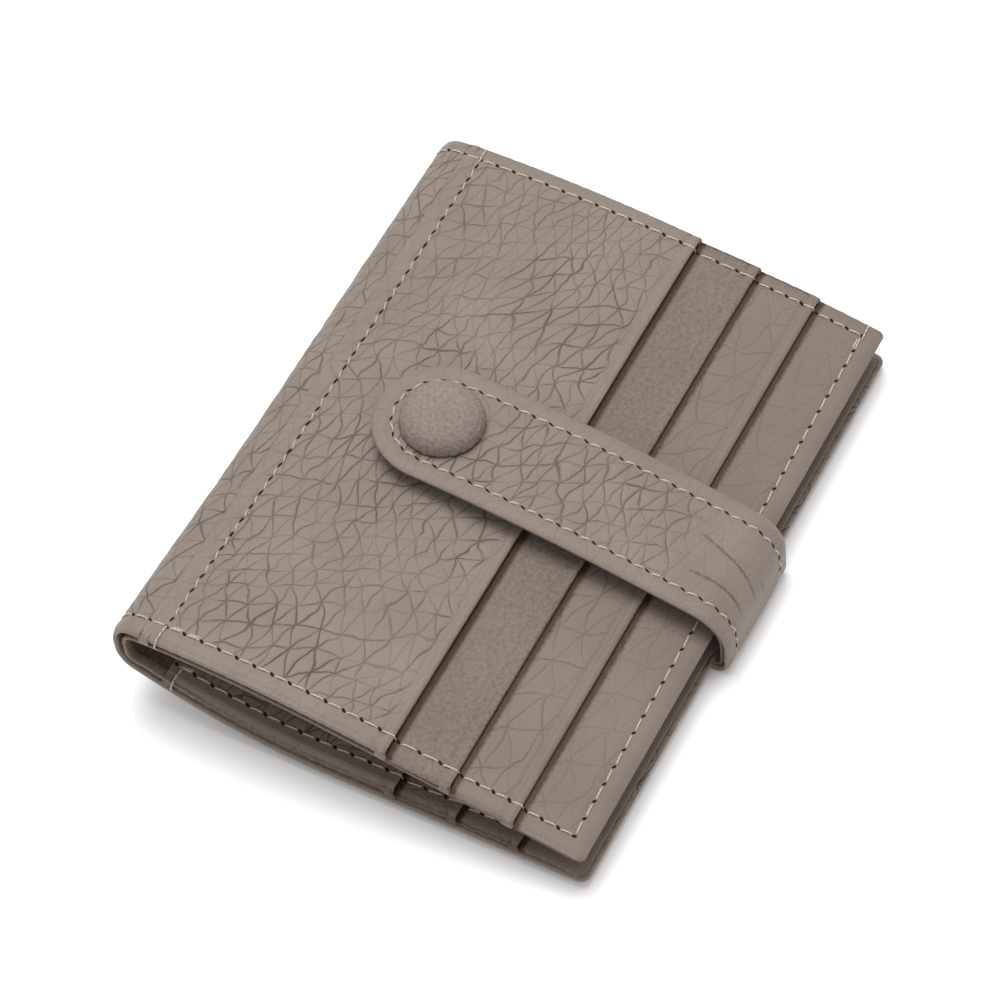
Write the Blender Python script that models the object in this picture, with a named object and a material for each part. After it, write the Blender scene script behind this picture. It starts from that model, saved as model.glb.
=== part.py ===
# Mini wallet: two leather halves joined by a spine, closed by a strap with a covered snap.
# Wallet coordinates: x runs from the spine's outer face to the fore edge, y along the spine
# from the middle of its length, z up from the table. The world origin lies under the middle.

import math

import bmesh
import bpy
from mathutils import Matrix, Vector

MM = 0.001

# Overall sizes of the closed wallet
LENGTH = 100.0 * MM
DEPTH = 75.0 * MM
CORNER_RADIUS = 1.6 * MM
CORNER_DRAW_IN = 1.1 * MM

# Stations across the halves, measured from the spine's outer face
BEND_END = 4.0 * MM
LAP_EDGE = 5.4 * MM
SPINE_SEAM = 8.3 * MM
LAP_END = 13.0 * MM
INNER_PANEL_EDGE = 7.9 * MM
FIRST_MOUTH = 44.5 * MM
MOUTH_PITCH = 9.8 * MM
HIDDEN_REACH = 8.0 * MM

# Heights of the front half's top surface at three stations, and the curve of the back half
SPINE_STATION = 8.0 * MM
MIDDLE_STATION = 40.0 * MM
FRONT_HEIGHT_SPINE = 17.6 * MM
FRONT_HEIGHT_MIDDLE = 15.6 * MM
FRONT_HEIGHT_FORE = 8.4 * MM
BACK_FLAT_START = 33.0 * MM
BACK_SPINE_RISE = 5.8 * MM

# Leather, lining and board thicknesses, and the gaps between plies
COVER_THICKNESS = 0.9 * MM
PANEL_THICKNESS = 0.7 * MM
SLIP_THICKNESS = 0.5 * MM
LINING_THICKNESS = 0.5 * MM
BOARD_THICKNESS = 0.3 * MM
POCKET_CLOTH = 0.25 * MM
PLY_GAP = 0.2 * MM
CLEARANCE = 0.3 * MM
EDGE_EASE = 0.15 * MM

# Depths of the plies below the half's top surface at their mouths
COVER_DIP = 0.35 * MM
SLIP_MOUTH_DEPTH = 0.35 * MM
FORE_EDGE_DEPTH = 0.5 * MM
LINING_DEPTH_SPINE = 2.0 * MM
LINING_DEPTH_MOUTH = 2.35 * MM
LINING_DEPTH_FORE = 1.3 * MM
LINING_INSET = 0.6 * MM
BACK_HALF_THICKNESS = 3.4 * MM
BACK_FORE_THICKNESS = 2.2 * MM

# Spine fold
SPINE_CORNER_RADIUS = 4.0 * MM
SPINE_LINING_OFFSET = 1.65 * MM

# Strap
STRAP_WIDTH = 20.0 * MM
STRAP_LEATHER = 1.0 * MM
STRAP_LINING = 0.5 * MM
STRAP_PLY_GAP = 0.15 * MM
STRAP_RISE = 3.6 * MM
STRAP_STAND = 2.6 * MM
STRAP_STRAIGHT_START = 60.0 * MM
STRAP_UPPER_RADIUS = 7.0 * MM
STRAP_LOWER_RADIUS = 2.4 * MM
STRAP_BASE_START = 22.0 * MM
SNAP_STATION = 27.0 * MM

# Snap: heights are levels above the front panel, along its normal
CAP_RADIUS = 6.3 * MM
CAP_HEIGHT = 4.1 * MM
CAP_LEATHER = 0.7 * MM
CAP_SEAT_GAP = 0.25 * MM
POST_RADIUS = 0.9 * MM
STUD_FLANGE_RADIUS = 3.2 * MM
STUD_BALL_RADIUS = 1.4 * MM
STUD_NECK_RADIUS = 1.1 * MM
STUD_SEAT_GAP = 0.2 * MM
STUD_FLANGE_TOP = 0.6 * MM
STUD_BALL_TOP = 1.4 * MM
SOCKET_RADIUS = 3.8 * MM
SOCKET_BORE_RADIUS = 1.7 * MM
SOCKET_FOOT = 0.8 * MM
SOCKET_PLATE_FOOT = 1.55 * MM
SOCKET_TOP = 1.8 * MM
RIVET_FLANGE = 0.35 * MM
RIVET_RADIUS = 2.8 * MM

# Thread
STITCH_PITCH = 2.8 * MM
STITCH_WIDTH = 0.45 * MM
STITCH_HEIGHT = 0.3 * MM
STITCH_HOLE_WIDTH = 0.3 * MM
STITCH_HOLE_HEIGHT = 0.12 * MM
THREAD_GAP = 0.12 * MM
SEAM_INSET = 3.0 * MM
STRAP_SEAM_INSET = 2.8 * MM

# Counts and turns in degrees
SHEET_STEPS = 18
BEND_STEPS = 7
ROUND_STEPS = 28
END_STEPS = 8
CAP_STEPS = 6
END_FIRST_TURN = 6
EASED_TURN = 50
SHARP_TURN = 40

# Overrun of cuts, step that a slope is measured over, and distance under which points merge
OVERRUN = 1.0 * MM
SLOPE_STEP = 0.1 * MM
MERGE_DISTANCE = 0.003 * MM

# Shares of a step, a corner's quarter turn, a stitch and the lap's run
CROWDED_SHARE = 0.25
CORNER_TURN_SHARES = (0.0, 0.33, 0.67)
STITCH_WINDOW_SHARES = (-1.05, -0.5, 0.0, 0.5, 1.05)
DIP_START_SHARE = 0.25

# Values worked out from the driving dimensions
MOUTHS = [FIRST_MOUTH + MOUTH_PITCH * step for step in range(3)]
REACH = DEPTH + STRAP_STAND
HALF_LENGTH = LENGTH / 2
BACK_FOOT = STRAP_LEATHER + PLY_GAP

LEATHER = (0.322, 0.269, 0.235, 1.0)
LINING = (0.255, 0.210, 0.180, 1.0)
THREAD = (0.560, 0.488, 0.420, 1.0)
CLOTH = (0.120, 0.100, 0.086, 1.0)
BOARD = (0.300, 0.260, 0.220, 1.0)
STEEL = (0.420, 0.400, 0.370, 1.0)


def clear_scene():
    """Empties the open scene."""
    for item in list(bpy.data.objects):
        bpy.data.objects.remove(item, do_unlink=True)


def finish(name, colour, roughness, metallic=0.0):
    """A plain Principled material."""
    skin = bpy.data.materials.new(name)
    skin.use_nodes = True
    shader = skin.node_tree.nodes["Principled BSDF"]
    shader.inputs["Base Color"].default_value = colour
    shader.inputs["Roughness"].default_value = roughness
    shader.inputs["Metallic"].default_value = metallic
    skin.diffuse_color = colour
    return skin


def front_height(x):
    """Top surface of the front half: a parabola through three named heights, straight by the spine."""
    if x < BEND_END:
        return front_height(BEND_END) + front_slope(BEND_END) * (x - BEND_END)
    first = (FRONT_HEIGHT_MIDDLE - FRONT_HEIGHT_SPINE) / (MIDDLE_STATION - SPINE_STATION)
    second = (FRONT_HEIGHT_FORE - FRONT_HEIGHT_MIDDLE) / (DEPTH - MIDDLE_STATION)
    bow = (second - first) / (DEPTH - SPINE_STATION)
    return FRONT_HEIGHT_SPINE + first * (x - SPINE_STATION) + bow * (x - SPINE_STATION) * (x - MIDDLE_STATION)


def front_slope(x):
    """Slope of the front half's top surface."""
    return (front_height(x + SLOPE_STEP) - front_height(x)) / SLOPE_STEP


def back_height(x):
    """Outer face of the back half: flat on the table side, rising in a parabola to the spine."""
    run = BACK_FLAT_START - BEND_END
    if x < BEND_END:
        return BACK_FOOT + BACK_SPINE_RISE - 2 * BACK_SPINE_RISE / run * (x - BEND_END)
    if x > BACK_FLAT_START:
        return BACK_FOOT
    return BACK_FOOT + BACK_SPINE_RISE * ((BACK_FLAT_START - x) / run) ** 2


def blend(x, low, high, start, end):
    """A value that runs straight from low at start to high at end."""
    share = min(max((x - start) / (end - start), 0.0), 1.0)
    return low + (high - low) * share


def back_inner(x):
    """Inner face of the back half, thinner towards the fore edge."""
    return back_height(x) + blend(x, BACK_HALF_THICKNESS, BACK_FORE_THICKNESS, MOUTHS[1], DEPTH)


def slip_depth(index, x):
    """Depth of a slip's upper face below its half's top surface. Each slip rises to its own mouth."""
    above = PANEL_THICKNESS if index == 0 else SLIP_MOUTH_DEPTH + SLIP_THICKNESS
    mouth_above = MOUTHS[index]
    end = MOUTHS[index + 1] if index < 2 else DEPTH
    end_depth = SLIP_MOUTH_DEPTH if index < 2 else FORE_EDGE_DEPTH
    if x >= mouth_above:
        return blend(x, above + PLY_GAP, end_depth, mouth_above, end)
    if index == 0:
        return above + PLY_GAP
    return slip_depth(index - 1, x) + SLIP_THICKNESS + PLY_GAP


def visible_depth(x):
    """Depth of the outermost ply at a station."""
    if x < MOUTHS[0]:
        return 0.0
    index = 0 if x < MOUTHS[1] else 1 if x < MOUTHS[2] else 2
    return slip_depth(index, x)


def lining_depth(x):
    """Depth of the front half's lining."""
    if x < MOUTHS[1]:
        return blend(x, LINING_DEPTH_SPINE, LINING_DEPTH_MOUTH, LAP_END, MOUTHS[0])
    return blend(x, LINING_DEPTH_MOUTH, LINING_DEPTH_FORE, MOUTHS[1], DEPTH)


def even_stations(start, end, steps=SHEET_STEPS, extra=()):
    """Stations from start to end at even steps, with chosen ones added."""
    stations = [start + (end - start) * step / steps for step in range(steps + 1)]
    margin = (end - start) / steps * CROWDED_SHARE
    kept = [x for x in stations if all(abs(x - one) > margin for one in extra) or x in (start, end)]
    kept += [one for one in extra if start < one < end]
    return sorted(kept)


def fore_stations(start, end=DEPTH, extra=()):
    """Stations that also follow the small round corners at the fore edge."""
    arc = [end - CORNER_RADIUS * (1 - math.sin(math.pi / 2 * share)) for share in CORNER_TURN_SHARES]
    return sorted(even_stations(start, arc[0], extra=extra) + arc[1:] + [end])


def fore_width(x, inset=0.0, end=DEPTH):
    """Half the length of a sheet at a station, with round corners at the fore edge."""
    share = min(max(1 - (end - x) / CORNER_RADIUS, 0.0), 1.0)
    return HALF_LENGTH - inset - CORNER_DRAW_IN * (1 - math.sqrt(1 - share ** 2))


def sheet(name, skin, path, thickness, widths, ease=EDGE_EASE):
    """A leather or lining sheet. Its outer face follows the path, on the path's left-hand side."""
    mesh_maker = bmesh.new()
    near = [mesh_maker.verts.new((x - REACH / 2, -width, z)) for (x, z), width in zip(path, widths)]
    edges = [mesh_maker.edges.new(pair) for pair in zip(near, near[1:])]
    grown = bmesh.ops.extrude_edge_only(mesh_maker, edges=edges)["geom"]
    for corner in (item for item in grown if isinstance(item, bmesh.types.BMVert)):
        corner.co.y = -corner.co.y
    mesh_maker.normal_update()
    mesh_maker.faces.ensure_lookup_table()
    run_x = path[1][0] - path[0][0]
    run_z = path[1][1] - path[0][1]
    first = min(mesh_maker.faces, key=lambda face: (face.calc_center_median() - near[0].co).length)
    if first.normal.dot(Vector((-run_z, 0.0, run_x))) < 0:
        bmesh.ops.reverse_faces(mesh_maker, faces=mesh_maker.faces[:])
    item = add_object(name, skin, mesh_maker)
    wall = item.modifiers.new("thickness", "SOLIDIFY")
    wall.thickness = thickness
    wall.offset = -1.0
    wall.use_even_offset = True
    if ease:
        round_edges = item.modifiers.new("eased edges", "BEVEL")
        round_edges.width = ease
        round_edges.segments = 1
        round_edges.limit_method = "ANGLE"
        round_edges.angle_limit = math.radians(EASED_TURN)
    return item


def add_object(name, skin, mesh_maker):
    """Turns a bmesh into a named object with its material."""
    mesh = bpy.data.meshes.new(name)
    mesh_maker.to_mesh(mesh)
    mesh_maker.free()
    mesh.materials.append(skin)
    item = bpy.data.objects.new(name, mesh)
    bpy.context.scene.collection.objects.link(item)
    return item


def turned(name, skin, profile, stand, steps=ROUND_STEPS):
    """A round solid from a profile of radius and height, set on the matrix stand."""
    mesh_maker = bmesh.new()
    corners = [mesh_maker.verts.new((radius, 0.0, height)) for radius, height in profile]
    for pair in zip(corners, corners[1:]):
        mesh_maker.edges.new(pair)
    touches_axis = profile[0][0] == 0.0
    if not touches_axis:
        mesh_maker.edges.new((corners[-1], corners[0]))
    bmesh.ops.spin(
        mesh_maker, geom=mesh_maker.verts[:] + mesh_maker.edges[:], cent=(0, 0, 0), axis=(0, 0, 1),
        angle=2 * math.pi, steps=steps, use_merge=True,
    )
    bmesh.ops.remove_doubles(mesh_maker, verts=mesh_maker.verts[:], dist=MERGE_DISTANCE)
    bmesh.ops.recalc_face_normals(mesh_maker, faces=mesh_maker.faces[:])
    bmesh.ops.transform(mesh_maker, matrix=stand, verts=mesh_maker.verts[:])
    item = add_object(name, skin, mesh_maker)
    item.data.shade_smooth()
    item.data.set_sharp_from_angle(angle=math.radians(SHARP_TURN))
    return item


def drill(item, radius, stand):
    """Cuts a round hole through a sheet, square to the matrix stand."""
    mesh_maker = bmesh.new()
    bmesh.ops.create_cone(
        mesh_maker, cap_ends=True, segments=ROUND_STEPS // 2, radius1=radius, radius2=radius,
        depth=2 * (STRAP_RISE + OVERRUN), matrix=stand,
    )
    cutter = add_object(item.name + "_hole", item.data.materials[0], mesh_maker)
    cutter.hide_render = True
    cutter.display_type = "WIRE"
    cut = item.modifiers.new("hole", "BOOLEAN")
    cut.operation = "DIFFERENCE"
    cut.object = cutter


def arc_in_corner(before, corner, after, radius, steps=BEND_STEPS):
    """Points of the arc that rounds a corner, tangent to both of its sides."""
    side_in = (before - corner).normalized()
    side_out = (after - corner).normalized()
    half_angle = side_in.angle(side_out) / 2
    centre = corner + (side_in + side_out).normalized() * (radius / math.sin(half_angle))
    start = corner + side_in * (radius / math.tan(half_angle)) - centre
    end = corner + side_out * (radius / math.tan(half_angle)) - centre
    turn = start.angle(end)
    points = []
    for step in range(steps + 1):
        share = step / steps
        spot = start * math.sin((1 - share) * turn) + end * math.sin(share * turn)
        points.append(centre + spot / math.sin(turn))
    return points


def moved_in(before, corner, after, offset):
    """The corner of the same two sides after both are moved inwards."""
    side_in = (before - corner).normalized()
    side_out = (after - corner).normalized()
    return corner + (side_in + side_out) * (offset / math.sin(side_in.angle(side_out)))


def spine_corners():
    """Outer corners of the spine, where its two fold axes lie, and a point along each half."""
    low = Vector((0.0, back_height(0.0)))
    high = Vector((0.0, front_height(0.0) - COVER_DIP))
    along_back = Vector((BEND_END, back_height(BEND_END)))
    along_front = Vector((BEND_END, front_height(BEND_END) - COVER_DIP))
    return low, high, along_back, along_front


def spine_path(offset=0.0):
    """Outer face of the spine from the back half to the front half, or a path inside it."""
    low, high, along_back, along_front = spine_corners()
    radius = SPINE_CORNER_RADIUS - offset
    inner_low = moved_in(along_back, low, high, offset)
    inner_high = moved_in(low, high, along_front, offset)
    back_side = inner_low + (along_back - low)
    front_side = inner_high + (along_front - high)
    lower = arc_in_corner(back_side, inner_low, inner_high, radius)
    upper = arc_in_corner(inner_low, inner_high, front_side, radius)
    return lower + upper


def trimmed(path, start_gap, end_gap):
    """A path shortened at both ends along its own direction."""
    first = path[0] + (path[1] - path[0]).normalized() * start_gap
    last = path[-1] + (path[-2] - path[-1]).normalized() * end_gap
    return [first] + path[1:-1] + [last]


def strap_height(x):
    """Outer face of the strap over the front half, straight past its last station."""
    if x <= STRAP_STRAIGHT_START:
        return front_height(x) + STRAP_RISE
    start = STRAP_STRAIGHT_START
    return front_height(start) + STRAP_RISE + front_slope(start) * (x - start)


def strap_corners():
    """Outer corners of the strap's bend, where its two axes lie."""
    return Vector((REACH, strap_height(REACH))), Vector((REACH, 0.0))


def strap_bend_path(offset=0.0):
    """Outer face of the strap's bend round the fore edge, from top to bottom, or a path inside it."""
    high, low = strap_corners()
    along_tab = Vector((STRAP_STRAIGHT_START, strap_height(STRAP_STRAIGHT_START)))
    along_base = Vector((STRAP_BASE_START, 0.0))
    inner_high = moved_in(along_tab, high, low, offset)
    inner_low = moved_in(high, low, along_base, offset)
    upper = arc_in_corner(inner_high + (along_tab - high), inner_high, inner_low, STRAP_UPPER_RADIUS - offset)
    lower = arc_in_corner(inner_high, inner_low, inner_low + (along_base - low), STRAP_LOWER_RADIUS - offset)
    return upper + lower


def strap_width_at(x):
    """Half the strap's width, with a half-round end."""
    radius = STRAP_WIDTH / 2
    run = min(max(SNAP_STATION - x, 0.0), radius)
    return math.sqrt(radius ** 2 - run ** 2)


def strap_stations(end):
    """Stations along the strap, close together at its round end."""
    radius = STRAP_WIDTH / 2
    turn_step = (90 - END_FIRST_TURN) / END_STEPS
    turns = [math.radians(END_FIRST_TURN + turn_step * step) for step in range(END_STEPS)]
    return [SNAP_STATION - radius * math.cos(turn) for turn in turns] + even_stations(SNAP_STATION, end)


def thread(name, skin, stations):
    """One unbroken thread from its stations: thin and low at each needle hole, full between two holes."""
    mesh_maker = bmesh.new()
    rings = []
    for index, (spot, up) in enumerate(stations):
        before = stations[max(index - 1, 0)][0]
        after = stations[min(index + 1, len(stations) - 1)][0]
        side = up.cross(after - before).normalized()
        at_hole = index % 2 == 0
        width = (STITCH_HOLE_WIDTH if at_hole else STITCH_WIDTH) / 2
        height = STITCH_HOLE_HEIGHT if at_hole else STITCH_HEIGHT
        foot = spot + up * THREAD_GAP
        corners = (foot - side * width, foot + side * width)
        corners += tuple(corner + up * height for corner in corners[::-1])
        rings.append([mesh_maker.verts.new(corner) for corner in corners])
    for first, second in zip(rings, rings[1:]):
        for index in range(4):
            other = (index + 1) % 4
            mesh_maker.faces.new((first[index], first[other], second[other], second[index]))
    mesh_maker.faces.new(rings[0])
    mesh_maker.faces.new(rings[-1])
    bmesh.ops.recalc_face_normals(mesh_maker, faces=mesh_maker.faces[:])
    return add_object(name, skin, mesh_maker)


def half_pitches(start, end):
    """Values from start to end at half a stitch each, with a whole number of stitches."""
    count = 2 * max(round(abs(end - start) / STITCH_PITCH), 1)
    return [start + (end - start) * step / count for step in range(count + 1)]


def top_spot(x, y, height_at, depth_at):
    """A thread station on a half, level with the highest ply within half a stitch of it."""
    window = [x + STITCH_PITCH / 2 * share for share in STITCH_WINDOW_SHARES]
    depth = min(depth_at(one) for one in window)
    return Vector((x - REACH / 2, y, height_at(x) - depth)), Vector((0.0, 0.0, 1.0))


def path_stations(y, path):
    """Thread stations along a curved path, square to it."""
    lengths = [0.0]
    for first, second in zip(path, path[1:]):
        lengths.append(lengths[-1] + (second - first).length)
    stations = []
    margin = CLEARANCE / 2
    for distance in half_pitches(margin, lengths[-1] - margin):
        index = max(i for i in range(len(path) - 1) if lengths[i] <= distance)
        share = (distance - lengths[index]) / (lengths[index + 1] - lengths[index])
        spot = path[index].lerp(path[index + 1], share)
        run = (path[index + 1] - path[index]).normalized()
        up = Vector((-run.y, 0.0, run.x))
        stations.append((Vector((spot.x - REACH / 2, y, spot.y)) + up * THREAD_GAP, up))
    return stations


def build_back_half(skins):
    """Outer cover, board and the card pocket panels of the half that lies on the table."""
    start = spine_path()[0].x + CLEARANCE / 2
    stations = fore_stations(start, extra=(BACK_FLAT_START,))[::-1]
    widths = [fore_width(x) for x in stations]
    path = [(x, back_height(x)) for x in stations]
    sheet("outer_cover_back", skins["leather"], path, COVER_THICKNESS, widths)

    stations = even_stations(LAP_END, MOUTHS[1] - HIDDEN_REACH - CLEARANCE)
    path = [(x, back_height(x) + COVER_THICKNESS + PLY_GAP + BOARD_THICKNESS) for x in stations]
    widths = [HALF_LENGTH - SEAM_INSET - STITCH_WIDTH] * len(stations)
    sheet("back_board", skins["board"], path, BOARD_THICKNESS, widths, ease=0.0)

    start = spine_path(SPINE_LINING_OFFSET)[0].x + CLEARANCE / 2
    stations = even_stations(start, LAP_END - CLEARANCE, steps=SHEET_STEPS // 2)
    rise = SPINE_LINING_OFFSET + LINING_THICKNESS
    path = [(x, back_height(x) + rise) for x in stations]
    widths = [HALF_LENGTH - LINING_INSET] * len(stations)
    sheet("back_lining_flap", skins["lining"], path, LINING_THICKNESS, widths, ease=0.0)

    build_pockets("back", skins, back_inner, INNER_PANEL_EDGE)


def build_pockets(half, skins, height_at, panel_edge):
    """The panel by the spine and the three slips, laid like shingles with open mouths."""
    stations = even_stations(panel_edge, MOUTHS[0])
    path = [(x, height_at(x)) for x in stations]
    widths = [HALF_LENGTH] * len(stations)
    panel = sheet(half + "_panel", skins["leather"], path, PANEL_THICKNESS, widths)
    for index in range(3):
        start = MOUTHS[index] - HIDDEN_REACH
        end = MOUTHS[index + 1] if index < 2 else DEPTH
        extra = (MOUTHS[index],)
        stations = fore_stations(start, extra=extra) if index == 2 else even_stations(start, end, extra=extra)
        path = [(x, height_at(x) - slip_depth(index, x)) for x in stations]
        widths = [fore_width(x) if index == 2 else HALF_LENGTH for x in stations]
        name = half + "_slip_" + "abc"[index]
        sheet(name, skins["leather"], path, SLIP_THICKNESS, widths)
    return panel


def build_pocket_cloth(skins):
    """The thin cloth that closes the front pockets from below, behind the front panel."""
    stations = even_stations(LAP_END + CLEARANCE, MOUTHS[0] - CLEARANCE)
    depth = PANEL_THICKNESS + SLIP_THICKNESS + 2 * PLY_GAP
    path = [(x, front_height(x) - depth) for x in stations]
    widths = [HALF_LENGTH - SEAM_INSET - STITCH_WIDTH] * len(stations)
    sheet("front_pocket_cloth", skins["cloth"], path, POCKET_CLOTH, widths, ease=0.0)


def build_front_half(skins):
    """The lap of the outer cover, the front panel over it, the slips and the lining below them."""
    start = spine_path()[-1].x + CLEARANCE / 2
    lap_depth = PANEL_THICKNESS + PLY_GAP
    dip_start = start + (LAP_EDGE - start) * DIP_START_SHARE
    dip_end = LAP_EDGE - PLY_GAP
    stations = [start, dip_start, dip_end] + even_stations(LAP_EDGE, LAP_END, steps=SHEET_STEPS // 3)
    path = [(x, front_height(x) - blend(x, COVER_DIP, lap_depth, dip_start, dip_end)) for x in stations]
    widths = [HALF_LENGTH] * len(stations)
    sheet("outer_cover_front", skins["leather"], path, COVER_THICKNESS, widths, ease=0.0)

    panel = build_pockets("front", skins, front_height, LAP_EDGE)
    build_pocket_cloth(skins)

    start = spine_path(SPINE_LINING_OFFSET)[-1].x + CLEARANCE / 2
    end = DEPTH - LINING_INSET
    stations = fore_stations(start, end=end, extra=(LAP_END, MOUTHS[0], MOUTHS[1]))
    path = [(x, front_height(x) - lining_depth(x)) for x in stations]
    widths = [fore_width(x, LINING_INSET, end) for x in stations]
    sheet("front_lining", skins["lining"], path, LINING_THICKNESS, widths, ease=0.0)
    return panel


def build_spine(skins):
    """The outer cover and the lining where the wallet folds."""
    path = trimmed(spine_path(), CLEARANCE / 2, CLEARANCE / 2)
    path = [(spot.x, spot.y) for spot in path]
    sheet("outer_cover_spine", skins["leather"], path, COVER_THICKNESS, [HALF_LENGTH] * len(path))
    path = trimmed(spine_path(SPINE_LINING_OFFSET), CLEARANCE / 2, CLEARANCE / 2)
    path = [(spot.x, spot.y) for spot in path]
    widths = [HALF_LENGTH - LINING_INSET] * len(path)
    sheet("spine_lining", skins["lining"], path, LINING_THICKNESS, widths, ease=0.0)


def build_strap(skins):
    """The strap: sewn under the back half, bent round the fore edge, snapped on the front half."""
    base_end = strap_bend_path()[-1].x - CLEARANCE / 2
    stations = even_stations(STRAP_BASE_START, base_end, steps=SHEET_STEPS // 2)[::-1]
    path = [(x, 0.0) for x in stations]
    sheet("strap_base", skins["leather"], path, STRAP_LEATHER, [STRAP_WIDTH / 2] * len(path))

    for name, skin, offset, thickness in (
        ("strap_bend_leather", "leather", 0.0, STRAP_LEATHER),
        ("strap_bend_lining", "lining", STRAP_LEATHER + STRAP_PLY_GAP, STRAP_LINING),
    ):
        path = trimmed(strap_bend_path(offset), CLEARANCE / 2, CLEARANCE / 2)
        path = [(spot.x, spot.y) for spot in path]
        sheet(name, skins[skin], path, thickness, [STRAP_WIDTH / 2] * len(path))

    tab_end = strap_bend_path()[0].x - CLEARANCE / 2
    pieces = []
    for name, skin, offset, thickness in (
        ("strap_tab_leather", "leather", 0.0, STRAP_LEATHER),
        ("strap_tab_lining", "lining", STRAP_LEATHER + STRAP_PLY_GAP, STRAP_LINING),
    ):
        stations = strap_stations(tab_end)
        path = [strap_spot(x, offset) for x in stations]
        widths = [strap_width_at(x) for x in stations]
        pieces.append(sheet(name, skins[skin], path, thickness, widths))
    return pieces


def strap_spot(x, offset):
    """A point inside the strap, square to its outer face."""
    slope = front_slope(min(x, STRAP_STRAIGHT_START))
    length = math.hypot(1.0, slope)
    return (x - offset * -slope / length, strap_height(x) - offset / length)


def snap_stand():
    """The snap's own frame: origin on the front panel, upright along its normal."""
    slope = front_slope(SNAP_STATION)
    place = Matrix.Translation(Vector((SNAP_STATION - REACH / 2, 0.0, front_height(SNAP_STATION))))
    return place @ Matrix.Rotation(-math.atan(slope), 4, "Y")


def build_snap(skins, panel, strap_pieces):
    """Covered cap with its post and socket on the strap, stud and rivet on the front panel."""
    stand = snap_stand()
    hole = POST_RADIUS + CLEARANCE
    for piece in strap_pieces + [panel]:
        drill(piece, hole, stand)

    foot = STRAP_RISE + CAP_SEAT_GAP
    top = foot + CAP_HEIGHT
    turns = [math.pi / 2 * step / CAP_STEPS for step in range(CAP_STEPS + 1)]
    dome = [(CAP_RADIUS * math.cos(turn), foot + CAP_HEIGHT * math.sin(turn)) for turn in turns]
    inner_radius = CAP_RADIUS - CAP_LEATHER
    inner_height = CAP_HEIGHT - CAP_LEATHER
    hollow = [(inner_radius * math.cos(turn), foot + inner_height * math.sin(turn)) for turn in turns]
    shell = [(0.0, top)] + dome[-2::-1] + hollow[:-1] + [(0.0, foot + inner_height)]
    turned("snap_cap_leather", skins["leather"], shell, stand)

    core_radius = inner_radius - PLY_GAP
    core_height = inner_height - PLY_GAP
    core = [(core_radius * math.cos(turn), foot + core_height * math.sin(turn)) for turn in turns]
    post_foot = SOCKET_TOP + STRAP_PLY_GAP
    post = [(POST_RADIUS, foot), (POST_RADIUS, post_foot), (0.0, post_foot)]
    core = [(0.0, foot + core_height)] + core[-2::-1] + post
    turned("snap_cap_core", skins["steel"], core, stand)

    ease = STUD_SEAT_GAP / 2
    socket = [
        (0.0, SOCKET_TOP), (SOCKET_RADIUS - ease, SOCKET_TOP), (SOCKET_RADIUS, SOCKET_TOP - ease),
        (SOCKET_RADIUS, SOCKET_FOOT), (SOCKET_BORE_RADIUS, SOCKET_FOOT),
        (SOCKET_BORE_RADIUS, SOCKET_PLATE_FOOT), (0.0, SOCKET_PLATE_FOOT),
    ]
    turned("snap_socket", skins["steel"], socket, stand)

    stud = [
        (0.0, STUD_BALL_TOP), (STUD_NECK_RADIUS, STUD_BALL_TOP), (STUD_BALL_RADIUS, STUD_BALL_TOP - ease),
        (STUD_BALL_RADIUS, (STUD_BALL_TOP + STUD_FLANGE_TOP) / 2), (STUD_NECK_RADIUS, STUD_FLANGE_TOP),
        (STUD_FLANGE_RADIUS - ease, STUD_FLANGE_TOP), (STUD_FLANGE_RADIUS, STUD_FLANGE_TOP - ease),
        (STUD_FLANGE_RADIUS, STUD_SEAT_GAP), (0.0, STUD_SEAT_GAP),
    ]
    turned("snap_stud", skins["steel"], stud, stand)

    flange_top = -(PANEL_THICKNESS + PLY_GAP)
    rivet = [
        (0.0, STUD_SEAT_GAP - STRAP_PLY_GAP), (POST_RADIUS, STUD_SEAT_GAP - STRAP_PLY_GAP),
        (POST_RADIUS, flange_top), (RIVET_RADIUS, flange_top), (RIVET_RADIUS, flange_top - RIVET_FLANGE),
        (0.0, flange_top - RIVET_FLANGE),
    ]
    turned("stud_rivet", skins["steel"], rivet, stand)


def build_threads(skins):
    """The seams round both halves, beside the spine and over its bend."""
    edge = HALF_LENGTH - SEAM_INSET
    fore = DEPTH - SEAM_INSET
    for name, height_at, start in (
        ("front_thread", front_height, SPINE_SEAM),
        ("back_thread", back_inner, INNER_PANEL_EDGE + STITCH_WIDTH),
    ):
        across = half_pitches(start, fore)
        spots = [(x, -edge) for x in across]
        spots += [(fore, y) for y in half_pitches(-edge, edge)[1:]]
        spots += [(x, edge) for x in across[-2::-1]]
        stations = [top_spot(x, y, height_at, visible_depth) for x, y in spots]
        thread(name, skins["thread"], stations)

    inner_edge = edge - STITCH_WIDTH
    spots = half_pitches(-inner_edge, inner_edge)
    stations = [top_spot(SPINE_SEAM, y, front_height, visible_depth) for y in spots]
    thread("spine_seam_thread", skins["thread"], stations)
    for side, y in (("near", -edge), ("far", edge)):
        thread("spine_thread_" + side, skins["thread"], path_stations(y, spine_path()))
    build_strap_threads(skins)


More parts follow.
